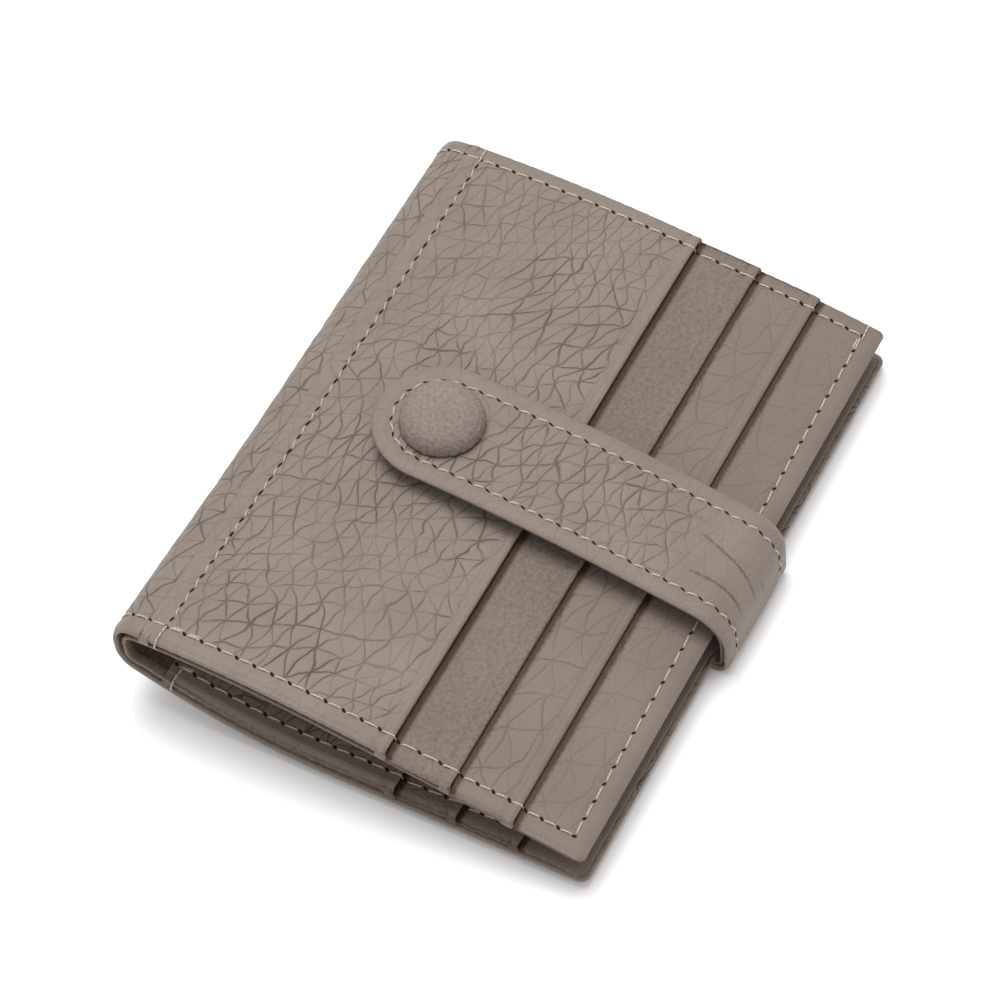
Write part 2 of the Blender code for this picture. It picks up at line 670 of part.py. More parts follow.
def build_strap_threads(skins):
    """The seam round the strap, on its flat part and on its bend."""
    half = STRAP_WIDTH / 2 - STRAP_SEAM_INSET
    along = half_pitches(strap_bend_path()[0].x - CLEARANCE, SNAP_STATION)
    count = 2 * round(math.pi * half / STITCH_PITCH)
    turns = [math.pi / 2 + math.pi * step / count for step in range(count + 1)]
    spots = [(x, half) for x in along[:-1]]
    spots += [(SNAP_STATION + half * math.cos(turn), half * math.sin(turn)) for turn in turns]
    spots += [(x, -half) for x in along[-2::-1]]
    stations = [top_spot(x, y, strap_height, lambda x: 0.0) for x, y in spots]
    thread("strap_tab_thread", skins["thread"], stations)
    above_table = strap_bend_path()[:BEND_STEPS + 2]
    for side, y in (("near", -half), ("far", half)):
        thread("strap_bend_thread_" + side, skins["thread"], path_stations(y, above_table))


def carry(name, spot, carrier, prefixes):
    """An empty on a fold axis that carries the pieces of one moving body."""
    axis = bpy.data.objects.new(name, None)
    bpy.context.scene.collection.objects.link(axis)
    axis.parent = carrier
    bpy.context.view_layer.update()
    axis.matrix_world = Matrix.Translation(Vector((spot.x - REACH / 2, 0.0, spot.y)))
    bpy.context.view_layer.update()
    for item in bpy.data.objects:
        if item.type == "MESH" and item.name.startswith(prefixes):
            item.parent = axis
            item.matrix_parent_inverse = axis.matrix_world.inverted()
    return axis


def build_wallet():
    """Makes every piece and hangs the moving ones on their fold axes."""
    clear_scene()
    skins = {
        "leather": finish("pebbled_leather", LEATHER, 0.55),
        "lining": finish("smooth_lining_leather", LINING, 0.6),
        "thread": finish("polyester_thread", THREAD, 0.5),
        "cloth": finish("pocket_cloth", CLOTH, 0.8),
        "board": finish("stiffening_board", BOARD, 0.8),
        "steel": finish("plated_steel", STEEL, 0.3, 1.0),
    }
    build_back_half(skins)
    panel = build_front_half(skins)
    build_spine(skins)
    strap_pieces = build_strap(skins)
    build_snap(skins, panel, strap_pieces)
    build_threads(skins)

    low, high = spine_corners()[:2]
    spine_axis = carry("spine_axis", low, None, ("outer_cover_spine", "spine_lining", "spine_thread"))
    front_names = ("outer_cover_front", "front_", "spine_seam", "snap_stud", "stud_rivet")
    carry("cover_axis", high, spine_axis, front_names)
    high, low = strap_corners()
    bend_axis = carry("strap_lower_axis", low, None, ("strap_bend",))
    carry("strap_upper_axis", high, bend_axis, ("strap_tab", "snap_cap", "snap_socket"))


build_wallet()
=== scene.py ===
# Mini wallet in taupe pebbled leather: two halves, a spine, a strap with a covered snap.
# Lengths are in millimetres until a mesh is finished, and then in metres. Station x runs from the
# spine's outer face to the fore edge, y along the spine, and z up from the table.
import math

import bmesh
import bpy
import numpy as np
from mathutils import Matrix, Vector

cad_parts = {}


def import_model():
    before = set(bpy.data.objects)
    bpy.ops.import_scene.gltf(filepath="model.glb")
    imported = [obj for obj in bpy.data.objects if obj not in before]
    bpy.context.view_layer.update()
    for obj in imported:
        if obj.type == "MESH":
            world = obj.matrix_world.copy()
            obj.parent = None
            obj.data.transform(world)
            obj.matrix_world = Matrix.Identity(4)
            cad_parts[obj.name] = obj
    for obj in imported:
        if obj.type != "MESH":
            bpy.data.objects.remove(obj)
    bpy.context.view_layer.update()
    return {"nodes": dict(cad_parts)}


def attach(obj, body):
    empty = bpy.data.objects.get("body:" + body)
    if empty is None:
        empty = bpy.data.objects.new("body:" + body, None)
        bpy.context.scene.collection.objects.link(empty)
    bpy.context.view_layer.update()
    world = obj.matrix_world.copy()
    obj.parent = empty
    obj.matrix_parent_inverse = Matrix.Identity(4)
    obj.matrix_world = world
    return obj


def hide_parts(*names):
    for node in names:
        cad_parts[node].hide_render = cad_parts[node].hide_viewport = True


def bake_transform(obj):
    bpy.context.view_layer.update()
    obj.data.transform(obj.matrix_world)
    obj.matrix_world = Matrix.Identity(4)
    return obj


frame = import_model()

# Outer cover: one piece of full-grain cowhide, milled to a pebbled grain. It lies under the back half,
# bends round the spine and laps under the front panel, and its ends along the near and far sides are
# turned in. It is parted in the middle of the spine here.
MM = 0.001
HALF_LENGTH = 50.0
DEPTH = 75.0
REACH = 77.6
BEND_END = 4.0
FRONT_HEIGHTS = ((8.0, 17.6), (40.0, 15.6), (75.0, 8.4))
BACK_FOOT = 1.2
BACK_RISE = 5.8
BACK_FLAT_START = 33.0
SPINE_CORNER = 4.0
COVER_DIP = 0.35
COVER_THICKNESS = 0.42
LAP_EDGE = 5.4
LAP_END = 13.0
LAP_DEPTH = 0.9
TURN_IN = 1.2
NEAR_CORNER_RISE = 2.2
# The creases per mm of each family along the hide and across it, and its least and greatest depth.
GRAIN_FAMILIES = (((-0.43, 0.135), 0.5, 1.0), ((0.30, 0.135), 0.35, 0.95), ((-0.13, 0.27), 0.35, 0.95))
# How far a crease's soft valley and its thin line reach from its middle.
CREASE_REACHES = (1.0, 0.2)
PORE_SHADE = 0.035
# Painted shade: the dark brown laid on the gaps under the mouths, the turned sides, the lining's bend, the
# bend creases and the cap's foot.
PAINTED_SHADE_COLOUR = "#3a2511"
BUMP_HEIGHT = 0.085


def front_top(x):
    """Top surface of the front half: a parabola through three heights, straight by the spine."""
    (near, high), (between, level), (far, low) = FRONT_HEIGHTS
    first = (level - high) / (between - near)
    bow = ((low - level) / (far - between) - first) / (far - near)
    inside = np.maximum(x, BEND_END)
    height = high + first * (inside - near) + bow * (inside - near) * (inside - between)
    slope = first + bow * (2 * BEND_END - near - between)
    return height + slope * np.minimum(x - BEND_END, 0.0)


def back_under(x):
    """Outer face of the back half: flat on the table side, rising in a parabola to the spine."""
    run = BACK_FLAT_START - BEND_END
    left = np.maximum(BACK_FLAT_START - np.maximum(x, BEND_END), 0.0)
    return BACK_FOOT + BACK_RISE * (left / run) ** 2 - 2 * BACK_RISE / run * np.minimum(x - BEND_END, 0.0)


def section(height_at, stations, lift=0.0):
    """The (x, z) points of a surface at some stations, and a lift above it."""
    return [(x, float(height_at(x)) + lift) for x in stations]


def fillet(before, corner, after, radius, inset):
    """Points of the arc that rounds a corner, after both of its sides have moved in by inset."""
    before, corner, after = (Vector(spot) for spot in (before, corner, after))
    side_in = (before - corner).normalized()
    side_out = (after - corner).normalized()
    half_angle = side_in.angle(side_out) / 2
    middle = corner + (side_in + side_out).normalized() * (radius / math.sin(half_angle))
    start, end = (corner + side * (radius / math.tan(half_angle)) - middle for side in (side_in, side_out))
    turn = start.angle(end)
    shares = np.linspace(0.0, 1.0, 25)
    arc = [start * math.sin((1 - s) * turn) + end * math.sin(s * turn) for s in shares]
    return [tuple(middle + spot / math.sin(turn) * (1 - inset / radius)) for spot in arc]


def spine_arcs(inset=0.0):
    """The two arcs of the spine, from the back half to the front half."""
    low, along_back = section(back_under, (0.0, BEND_END))
    high, along_front = section(front_top, (0.0, BEND_END), -COVER_DIP)
    corners = ((along_back, low, high), (low, high, along_front))
    return [fillet(*points, SPINE_CORNER, inset) for points in corners]


class Track:
    """A path of (x, z) points that leather is laid along. Its outer face is on the left-hand side."""

    def __init__(self, points):
        points = np.array(points, float)
        gone = np.concatenate([[0.0], np.cumsum(np.hypot(*np.diff(points, axis=0).T))])
        self.length = gone[-1]
        self.even = np.linspace(0.0, self.length, int(self.length / 0.1) + 2)
        self.x, self.z = (np.interp(self.even, gone, side) for side in points.T)
        soft = np.ones(7) / 7
        slopes = [np.pad(np.gradient(side, self.even), 3, "edge") for side in (self.x, self.z)]
        turns = [np.convolve(slope, soft, "valid") for slope in slopes]
        size = np.hypot(*turns)
        self.turn_x, self.turn_z = turns[0] / size, turns[1] / size

    def place(self, along, lift):
        """The (x, z) at a distance along the path and a lift off it."""
        inside = np.clip(along, 0.0, self.length)
        past = along - inside
        x, z, turn_x, turn_z = (np.interp(inside, self.even, side)
                                for side in (self.x, self.z, self.turn_x, self.turn_z))
        return x + turn_x * past - turn_z * lift, z + turn_z * past + turn_x * lift

    def distance(self, x, after=0.0):
        """How far along the path a station x is, past a given distance."""
        later = self.even >= after
        return float(self.even[later][np.argmin(np.abs(self.x[later] - x))])


def smooth(value, low, high):
    """0 below low, 1 above high, and an S-curve between them."""
    share = np.clip((value - low) / (high - low), 0.0, 1.0)
    return share * share * (3 - 2 * share)


def hump(value, middle, width):
    """A soft ridge of height 1 round a middle value."""
    return np.exp(-(((value - middle) / width) ** 2))


def linear(colour):
    """An sRGB hex value as the linear colour that a shader takes."""
    parts = [int(colour[i:i + 2], 16) / 255 for i in (1, 3, 5)]
    return tuple(((p + 0.055) / 1.055) ** 2.4 if p > 0.04045 else p / 12.92 for p in parts) + (1.0,)


def add(tree, kind, inputs=(), out=0, **settings):
    """Adds a node by its kind and operation, sets or links its inputs, and gives one of its outputs."""
    kind, *operation = kind.split()
    node = tree.nodes.new(kind if kind.startswith("Geometry") else "ShaderNode" + kind)
    if operation:
        node.operation = operation[0]
    for key, value in settings.items():
        setattr(node, key, value)
    for key, value in inputs.items() if isinstance(inputs, dict) else enumerate(inputs):
        if isinstance(value, bpy.types.NodeSocket):
            tree.links.new(value, node.inputs[key])
        else:
            node.inputs[key].default_value = value
    return node.outputs[out]


def blank(name, roughness=0.5):
    """A new material, with its tree and its shader."""
    skin = bpy.data.materials.new(name)
    skin.use_nodes = True
    shader = skin.node_tree.nodes["Principled BSDF"]
    shader.inputs["Roughness"].default_value = roughness
    return skin, skin.node_tree, shader


def milled_grain(tree, cut, size):
    """The soft valleys and the thin lines of the creases in milled cowhide. Three families of them
    cross in common points, so that the cells between are triangles."""
    spot = cut
    for scale, shift, detail in ((0.04, 8.0, 1.0), (0.19, 2.2, 1.0), (0.8, 0.25, 2.0)):
        away = add(tree, "TexNoise", {"Vector": spot, "Scale": scale / size, "Detail": detail}, "Color",
                   noise_dimensions="2D")
        away = add(tree, "VectorMath SUBTRACT", (away, (0.5, 0.5, 0.5)))
        away = add(tree, "VectorMath SCALE", {0: away, "Scale": shift * size})
        spot = add(tree, "VectorMath ADD", (spot, away))
    counts = [add(tree, "VectorMath DOT_PRODUCT", (spot, (way[0] / size, way[1] / size, 0.0)), "Value")
              for way, _, _ in GRAIN_FAMILIES]
    region = add(tree, "TexNoise", {"Vector": spot, "Scale": 0.06 / size, "Detail": 1.0},
                 noise_dimensions="2D")
    region = add(tree, "MapRange", (region, 0.36, 0.6, 0.68, 1.0))
    nets = [None, None]
    for index, (way, weakest, strongest) in enumerate(GRAIN_FAMILIES):
        away = add(tree, "Math PINGPONG", (counts[index], 0.5))
        number = add(tree, "Math ROUND", (counts[index],))
        number = add(tree, "Math MULTIPLY_ADD", (number, 7.3, 3.1 * index))
        run = add(tree, "Math MULTIPLY", (counts[index - 1], 0.5))
        place = add(tree, "CombineXYZ", (number, run))
        share = add(tree, "TexNoise", {"Vector": place, "Scale": 1.0, "Detail": 1.0}, noise_dimensions="2D")
        share = add(tree, "MapRange", (share, 0.36, 0.62, weakest, strongest))
        share = add(tree, "Math MULTIPLY", (share, region))
        spacing = size / math.hypot(*way)
        for net, reach in enumerate(CREASE_REACHES):
            crease = add(tree, "MapRange", (away, 0.0, reach / spacing, 1.0, 0.0))
            crease = add(tree, "Math MULTIPLY", (crease, share))
            nets[net] = add(tree, "Math MAXIMUM", (nets[net], crease)) if nets[net] else crease
    return nets


def tanned(name, colour, crease_colour, size=1.0, depth=1.0, pores=1.0, pores_per_mm=2.4, roughness=0.46):
    """Chrome-tanned cowhide with a semi-matt pigmented finish, which gives a soft wide sheen."""
    skin, tree, shader = blank(name)
    cut = add(tree, "Attribute", out="Vector", attribute_name="cut")
    pressed = add(tree, "Attribute", out="Fac", attribute_name="pressed")
    painted_shade = add(tree, "Attribute", out="Fac", attribute_name="painted_shade")
    valleys, lines = milled_grain(tree, cut, size)
    pillow = add(tree, "Math POWER", (valleys, 2.0))
    for share in (add(tree, "Math SUBTRACT", (1.0, pressed)), depth):
        lines = add(tree, "Math MULTIPLY", (lines, share))
        pillow = add(tree, "Math MULTIPLY", (pillow, share))

    # The colour is clouded and pored, darker in the creases, and darkest where painted shade is laid on, in a
    # dark brown with a ragged edge.
    pore = add(tree, "TexNoise", {"Vector": cut, "Scale": pores_per_mm, "Detail": 4.0, "Roughness": 0.62},
               noise_dimensions="2D")
    cloud = add(tree, "TexNoise", {"Vector": cut, "Scale": 0.09, "Detail": 3.0}, noise_dimensions="2D")
    tone = add(tree, "MapRange", (cloud, 0.3, 0.7, 0.94, 1.06))
    shade = add(tree, "MapRange", (pore, 0.35, 0.65, 1 - PORE_SHADE * pores, 1 + PORE_SHADE * pores))
    tone = add(tree, "Math MULTIPLY", (tone, shade))
    plain = add(tree, "VectorMath SCALE", {0: linear(colour)[:3], "Scale": tone})
    part = add(tree, "Math MULTIPLY", (lines, 0.84))
    creased = add(tree, "Mix", {"Factor": part, "A": plain, "B": linear(crease_colour)}, "Result",
                  data_type="RGBA")
    ragged = add(tree, "TexNoise", {"Vector": cut, "Scale": 1.5, "Detail": 3.0}, noise_dimensions="2D")
    ragged = add(tree, "Math MULTIPLY_ADD", (ragged, 0.7, -0.35))
    ragged = add(tree, "Math ADD", (painted_shade, ragged))
    dark = add(tree, "MapRange", (ragged, 0.2, 1.0, 0.0, 0.94))
    shaded = add(tree, "Mix", {"Factor": dark, "A": creased, "B": linear(PAINTED_SHADE_COLOUR)}, "Result",
                 data_type="RGBA")

    # The pores roughen it, and they and the creases are in the bump.
    rough = add(tree, "MapRange", (pore, 0.3, 0.7, roughness - 0.06, roughness + 0.08))
    raised = add(tree, "Math MULTIPLY", (lines, -0.5))
    raised = add(tree, "Math SUBTRACT", (raised, pillow))
    fine = add(tree, "Math MULTIPLY", (pore, 0.7 * pores))
    height = add(tree, "Math ADD", (raised, fine))
    bump = add(tree, "Bump", {"Strength": 1.0, "Distance": BUMP_HEIGHT * MM, "Height": height})
    for socket, value in (("Base Color", shaded), ("Roughness", rough), ("Normal", bump)):
        tree.links.new(value, shader.inputs[socket])
    shader.inputs["Specular IOR Level"].default_value = 0.28
    return skin


def emboss(piece, size, depth):
    """Raises the pebbles and the slack of the hide in the mesh itself, as the material shows them."""
    tree = bpy.data.node_groups.new("pebbles", "GeometryNodeTree")
    for way in ("INPUT", "OUTPUT"):
        tree.interface.new_socket("Geometry", in_out=way, socket_type="NodeSocketGeometry")
    start = tree.nodes.new("NodeGroupInput")
    end = tree.nodes.new("NodeGroupOutput")
    cut, pressed, slack = (
        add(tree, "GeometryNodeInputNamedAttribute", {"Name": name}, data_type=kind)
        for name, kind in (("cut", "FLOAT_VECTOR"), ("pressed", "FLOAT"), ("slack", "FLOAT")))
    creases = add(tree, "Math POWER", (milled_grain(tree, cut, size)[0], 1.6))
    share = add(tree, "Math SUBTRACT", (1.0, pressed))
    creases = add(tree, "Math MULTIPLY", (creases, share))
    sunk = add(tree, "Math MULTIPLY", (creases, -depth * MM))
    leaning = add(tree, "VectorRotate", {"Vector": cut, "Angle": 0.55}, rotation_type="Z_AXIS")
    leaning = add(tree, "VectorMath MULTIPLY", (leaning, (0.16, 0.42, 0.0)))
    folds = add(tree, "TexNoise", {"Vector": leaning, "Scale": 1.0, "Detail": 1.5}, noise_dimensions="2D")
    folds = add(tree, "Math SUBTRACT", (folds, 0.5))
    for factor in (slack, 1.6 * MM):
        folds = add(tree, "Math MULTIPLY", (folds, factor))
    lift = add(tree, "Math ADD", (sunk, folds))
    offset = add(tree, "VectorMath SCALE", {0: add(tree, "GeometryNodeInputNormal"), "Scale": lift})
    moved = add(tree, "GeometryNodeSetPosition", {"Geometry": start.outputs[0], "Offset": offset})
    tree.links.new(moved, end.inputs[0])
    piece.modifiers.new("pebbles", "NODES").node_group = tree


def finished(name, shape):
    """The mesh of a shape that is done."""
    mesh = bpy.data.meshes.new(name)
    shape.to_mesh(mesh)
    shape.free()
    return mesh


def keep(name, mesh, skin):
    """Makes an object of a mesh and gives it its material."""
    mesh.materials.append(skin)
    piece = bpy.data.objects.new(name, mesh)
    bpy.context.scene.collection.objects.link(piece)
    return piece


def settle(piece, thick):
    """Gives a skin its thickness on the inside, and applies what waits on it."""
    wall = piece.modifiers.new("thickness", "SOLIDIFY")
    wall.thickness = thick * MM
    wall.offset = -1.0
    ready = bpy.context.evaluated_depsgraph_get()
    mesh = bpy.data.meshes.new_from_object(
        piece.evaluated_get(ready), preserve_all_data_layers=True, depsgraph=ready)
    piece.modifiers.clear()
    piece.data = mesh
    mesh.shade_smooth()
    mesh.set_sharp_from_angle(angle=math.radians(60))
    return piece


def margin_lines(spacing, flat, roll):
    """Distances of the lines in a margin: its flat part, its roll and its turned-in part."""
    count = max(int(round(flat / spacing)), 1)
    around = flat + math.pi * roll * np.arange(1, 7) / 6
    turned_in = [around[-1] + TURN_IN / 2, around[-1] + TURN_IN]
    return np.concatenate([flat * np.arange(1, count + 1) / count, around, turned_in])


def ruled(low, high, spacing, corner, rolls):
    """Lines of a flat cut: even ones between low and high, and past them those of a rolled margin."""
    inner = np.linspace(low, high, max(int(round((high - low) / spacing)), 2) + 1)
    before, after = (margin_lines(spacing, corner - roll, roll) if roll else np.array([]) for roll in rolls)
    return np.concatenate([low - before[::-1], inner, high + after])


def swell(x, y, z):
    """How far the real wallet stands open at its near corner by the spine, above its plain shape."""
    share = (1 - smooth(x + REACH / 2, 8.0, 62.0)) * smooth(-y, 6.0, 55.0)
    return NEAR_CORNER_RISE * share * np.clip(z / 17.0, 0.0, 1.05)


def folded(gone, corner, roll, bulge):
    """How far out and down leather comes that goes over an edge with a radius, and how far it turns."""
    roll = np.maximum(roll, 1e-6)
    level = corner - roll
    turn = np.clip((gone - level) / roll, 0.0, math.pi)
    out = np.where(gone < level, gone, level + roll * np.sin(turn) ** bulge)
    return out - np.maximum(gone - level - math.pi * roll, 0.0), -roll * (1 - np.cos(turn)), turn


def even(x, *spot):
    """What a piece carries that is the same all over."""
    return 0.0 * x


def cut_leather(name, skin, track, run, half_width, thick, sides=0.0, ends=(0.0, 0.0), corner=1.6, lift=even,
                pressed=even, slack=even, painted_shade=even, square=False, narrow=None, pucker=0.0, spacing=0.4,
                grain=(1.0, 0.1)):
    """Cuts a flat piece, rolls its margins under by a radius, lays it along a path and gives it thickness."""
    low = run[0] + (corner if ends[0] else 0.0)
    high = run[1] - (corner if ends[1] else 0.0)
    wide = half_width - (corner if sides else 0.0)
    along_lines = ruled(low, high, spacing, corner, ends)
    across_lines = ruled(-wide, wide, spacing, corner, (sides, sides))
    maker = bmesh.new()
    bmesh.ops.create_grid(maker, x_segments=len(along_lines) - 1, y_segments=len(across_lines) - 1, size=0.5)
    mesh = finished(name, maker)
    flat = np.zeros(len(mesh.vertices) * 3)
    mesh.vertices.foreach_get("co", flat)
    flat = flat.reshape(-1, 3)
    u, v = (lines[np.rint((flat[:, way] + 0.5) * (len(lines) - 1)).astype(int)]
            for way, lines in enumerate((along_lines, across_lines)))

    # Each point of a margin goes its own way out from the flat part, round the corner's middle.
    at_end = u > (low + high) / 2
    roll_u = np.where(at_end, ends[1], ends[0])
    base_u, base_v = np.clip(u, low, high), np.clip(v, -wide, wide)
    if square:
        out_u, down_u, _ = folded(np.abs(u - base_u), corner, roll_u, 0.65)
        out_v, down_v, _ = folded(np.abs(v - base_v), corner, sides, 0.65)
        along, across = base_u + np.sign(u - base_u) * out_u, base_v + np.sign(v) * out_v
        under = down_u + down_v
        facing_up = (np.abs(out_u) >= np.abs(u - base_u) - 0.01) * 1.0
        facing_up = facing_up * (np.abs(out_v) >= np.abs(v - base_v) - 0.01)
        flat_u, flat_v = u, v
    else:
        size_u, size_v = (corner + (math.pi - 1) * roll + TURN_IN for roll in (roll_u, sides))
        over_u = np.maximum(np.where(at_end, u - high, low - u), 0.0) / size_u
        over_v = np.maximum(np.abs(v) - wide, 0.0) / size_v
        most = np.maximum(over_u, over_v)
        angle = math.pi / 4 * (1 + (over_v - over_u) / np.maximum(most, 1e-9))
        roll = roll_u * np.cos(angle) ** 2 + sides * np.sin(angle) ** 2
        gone = most * (corner + (math.pi - 1) * roll + TURN_IN)
        out, under, turn = folded(gone, corner, roll, 1.0)
        way_u = np.cos(angle) * np.where(at_end, 1.0, -1.0) * (most > 0)
        way_v = np.sin(angle) * np.sign(v) * (most > 0)
        along, across = base_u + way_u * out, base_v + way_v * out
        facing_up = np.clip(np.cos(turn), 0.0, 1.0)
        flat_u, flat_v = base_u + way_u * gone, base_v + way_v * gone

    x, _ = track.place(along, 0.0 * along)
    new_x, new_z = track.place(along, under + lift(x, across, along) * facing_up)
    if narrow:
        across = across * narrow(x, along)
    folds = np.sin(2.7 * x + np.sign(across)) + np.sin(4.3 * x + 1.2 * np.sin(0.9 * x))
    folds = folds + 0.7 * np.sin(7.1 * x + 2)
    rim = smooth(np.abs(across), half_width - 1.0, half_width)
    across = across + np.sign(across) * pucker * (folds - 1.0) * rim
    new_x = new_x - REACH / 2
    placed = np.stack([new_x, across, new_z + swell(new_x, across, new_z)], axis=1) * MM
    mesh.vertices.foreach_set("co", placed.ravel())
    values = {
        "cut": np.stack([flat_u, flat_v, 0.0 * u], axis=1),
        "pressed": np.clip(pressed(x, across, along), 0.0, 1.0),
        "slack": slack(x, across, along),
        "painted_shade": painted_shade(x, across, along, -under / (2 * max(sides, 0.1))),
    }
    for key, value in values.items():
        kind, field = ("FLOAT_VECTOR", "vector") if key == "cut" else ("FLOAT", "value")
        mesh.attributes.new(key, kind, "POINT").data.foreach_set(field, value.astype(np.float32).ravel())
    mesh.update()
    piece = keep(name, mesh, skin)
    emboss(piece, *grain)
    return settle(piece, thick)


def world(spot):
    """A point of the section as a place in metres."""
    return ((spot[0] - REACH / 2) * MM, 0.0, spot[1] * MM)


def fit(piece, bodies, slot, *nodes, added=False):
    """Lets a piece ride on one body; one that lies over the fold between two bodies only has its place
    applied to its mesh. Either stands in the place of its solids. An added piece has none."""
    if len(bodies) == 1:
        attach(piece, bodies[0])
    else:
        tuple(bodies[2])
        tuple(bodies[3])
        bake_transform(piece)
    if not added:
        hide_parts(*nodes)


def lapped(x):
    """0 where the cover is seen, and 1 where it lies under the front panel."""
    return smooth(x, LAP_EDGE + 0.05, LAP_EDGE + 0.45)


def cover_top(x):
    """Outer face of the cover over the front half. It goes down under the front panel."""
    return front_top(x) - COVER_DIP - (LAP_DEPTH - COVER_DIP) * lapped(x)


pebbled = tanned("pebbled_cowhide", "#7c7067", "#2f2217", pores=1.6)
lower_arc, upper_arc = spine_arcs()
back_run = section(back_under, np.arange(DEPTH, lower_arc[0][0], -0.5))
lap_run = section(cover_top, np.arange(upper_arc[-1][0] + 0.1, LAP_END, 0.2))
cover_track = Track(back_run + lower_arc + upper_arc + lap_run)
spine_start = Track(back_run + lower_arc).length
spine_end = Track(back_run + lower_arc + upper_arc[:1]).length
parting = (spine_start + spine_end) / 2
lower_fold = ("back_half", "spine", world(lower_arc[0]), world(lower_arc[-1]))
upper_fold = ("spine", "front_half", world(upper_arc[0]), world(upper_arc[-1]))
edge_seam = HALF_LENGTH - 3.0
far_seam = HALF_LENGTH - 2.4


def beyond_seam(across):
    """How far a spot lies outside the side seams. The far one is sewn a little closer to the edge."""
    return np.where(across > 0, across - far_seam, -across - edge_seam)


def by_edge(across, start, end):
    """0 further in from the side edges than start, and 1 nearer to them than end."""
    return smooth(np.abs(across), HALF_LENGTH - start, HALF_LENGTH - end)


def cover_lift(x, across, along):
    """The cover is pulled down along its seams and rounds off towards its edges."""
    seam = -0.10 * hump(beyond_seam(across), 0.0, 0.6)
    edge = -0.25 * by_edge(across, 1.4, 0.0)
    level = 0.25 * smooth(x, 1.5, 4.6) * (1 - lapped(x)) * (along > parting)
    return seam + edge + level


def cover_pressed(x, across, along):
    """The grain is pressed flat in the band outside a seam."""
    return 0.75 * smooth(beyond_seam(across), -1.2, 0.3)


def cover_slack(x, across, along):
    """The hide is slack round the spine, where it bends."""
    return 0.12 * smooth(along, spine_start - 12, spine_start - 2) * (1 - smooth(x, 3.0, 4.8))


def under_panel(x, along):
    """The lap is narrower where it lies under the front panel."""
    hidden = smooth(x, LAP_EDGE + 0.3, LAP_EDGE + 1.2) * (along > parting)
    return 1 - 0.05 * hidden


cover_surface = dict(sides=0.45, lift=cover_lift, pressed=cover_pressed, slack=cover_slack)
lower_cover = cut_leather(
    "outer_cover_lower", pebbled, cover_track, (0.0, parting), HALF_LENGTH, COVER_THICKNESS, ends=(0.45, 0.0),
    spacing=0.5, **cover_surface)
fit(lower_cover, lower_fold, "pebbled_leather", "outer_cover_back")
upper_cover = cut_leather(
    "outer_cover_upper", pebbled, cover_track, (parting, cover_track.length), HALF_LENGTH, COVER_THICKNESS,
    narrow=under_panel, **cover_surface)
fit(upper_cover, upper_fold, "pebbled_leather", "outer_cover_spine", "outer_cover_front")

# Back half's stiffener: a thin bonded board between the cover and the inside, glued in. It keeps
# its solid and gets the grey-brown, flecked look of board made of pressed fibre.
def two_shades(tree, pattern, dark, light, stops=(0.0, 1.0)):
    """Colours a material from a dark to a light shade over a pattern."""
    colour = add(tree, "ValToRGB", (pattern,))
    for element, stop, shade in zip(colour.node.color_ramp.elements, stops, (dark, light)):
        element.position, element.color = stop, linear(shade)
    tree.links.new(colour, tree.nodes["Principled BSDF"].inputs["Base Color"])


def dress(skin, *nodes):
    """Gives its material to solids that are shown as they are."""
    for name in nodes:
        frame["nodes"][name].data.materials.clear()
        frame["nodes"][name].data.materials.append(skin)


FLECKS_PER_MM = 0.9
board, tree, _ = blank("bonded_fibre_board", 0.85)
fibres = add(tree, "TexNoise", {"Vector": add(tree, "TexCoord", out="Object"), "Scale": FLECKS_PER_MM / MM,
                                "Detail": 4.0})
two_shades(tree, fibres, "#8a7f71", "#b5aa99")
dress(board, "back_board")

# Lining: a thin smooth leather that lies inside the cover, in a second, tighter bend at the spine,
# and goes on under the whole front half. Its edges are turned in, and it is parted with the cover.
LINING_INSET = 1.65
LINING_HALF_LENGTH = 49.85
LINING_THICKNESS = 0.3


def lining_depth(x):
    """Depth of the lining below the front half's top surface."""
    return np.interp(x, [LAP_END, 44.5, 54.3, DEPTH], [2.0, 2.35, 2.35, 1.3])


def half_between(before, after):
    """The point half way between the end of one arc and the start of the next."""
    return [tuple((Vector(before[-1]) + Vector(after[0])) / 2)]


# Leather that is sanded and plated flat, so its creases are fine and shallow and its sheen is duller.
lining_skin = tanned("smooth_lining_leather", "#716458", "#362a20", size=0.55, depth=0.45, roughness=0.5)
low_inner, high_inner = spine_arcs(LINING_INSET)
flap_run = section(back_under, np.arange(LAP_END - 0.3, low_inner[0][0] + 0.9, -0.3), LINING_INSET + 0.5)
inner_run = section(lambda x: front_top(x) - lining_depth(x), np.arange(high_inner[-1][0] + 0.9, 74.4, 0.4))
lining_track = Track(flap_run + low_inner + high_inner + inner_run)
lining_parting = Track(flap_run + low_inner + half_between(low_inner, high_inner)).length


def lining_slack(x, across, along):
    """The lining is slack in its bend."""
    return 0.1 * (1 - smooth(x, 4.0, 9.0))


def lining_painted_shade(x, across, along, drop):
    """Painted shade: the lining is darker inside its bend, where little light gets in."""
    inside = 1 - by_edge(across, 1.6, 0.5)
    return 0.6 * (1 - smooth(x, 5.0, 9.0)) * inside


lining_surface = dict(sides=0.33, slack=lining_slack, painted_shade=lining_painted_shade, spacing=0.8, grain=(0.6, 0.03))
lower_lining = cut_leather(
    "lining_lower", lining_skin, lining_track, (0.0, lining_parting), LINING_HALF_LENGTH, LINING_THICKNESS,
    **lining_surface)
fit(lower_lining, lower_fold, "lining_leather", "back_lining_flap")
upper_lining = cut_leather(
    "lining_upper", lining_skin, lining_track, (lining_parting, lining_track.length), LINING_HALF_LENGTH,
    LINING_THICKNESS, ends=(0.0, 0.25), **lining_surface)
fit(upper_lining, upper_fold, "lining_leather", "spine_lining", "front_lining")

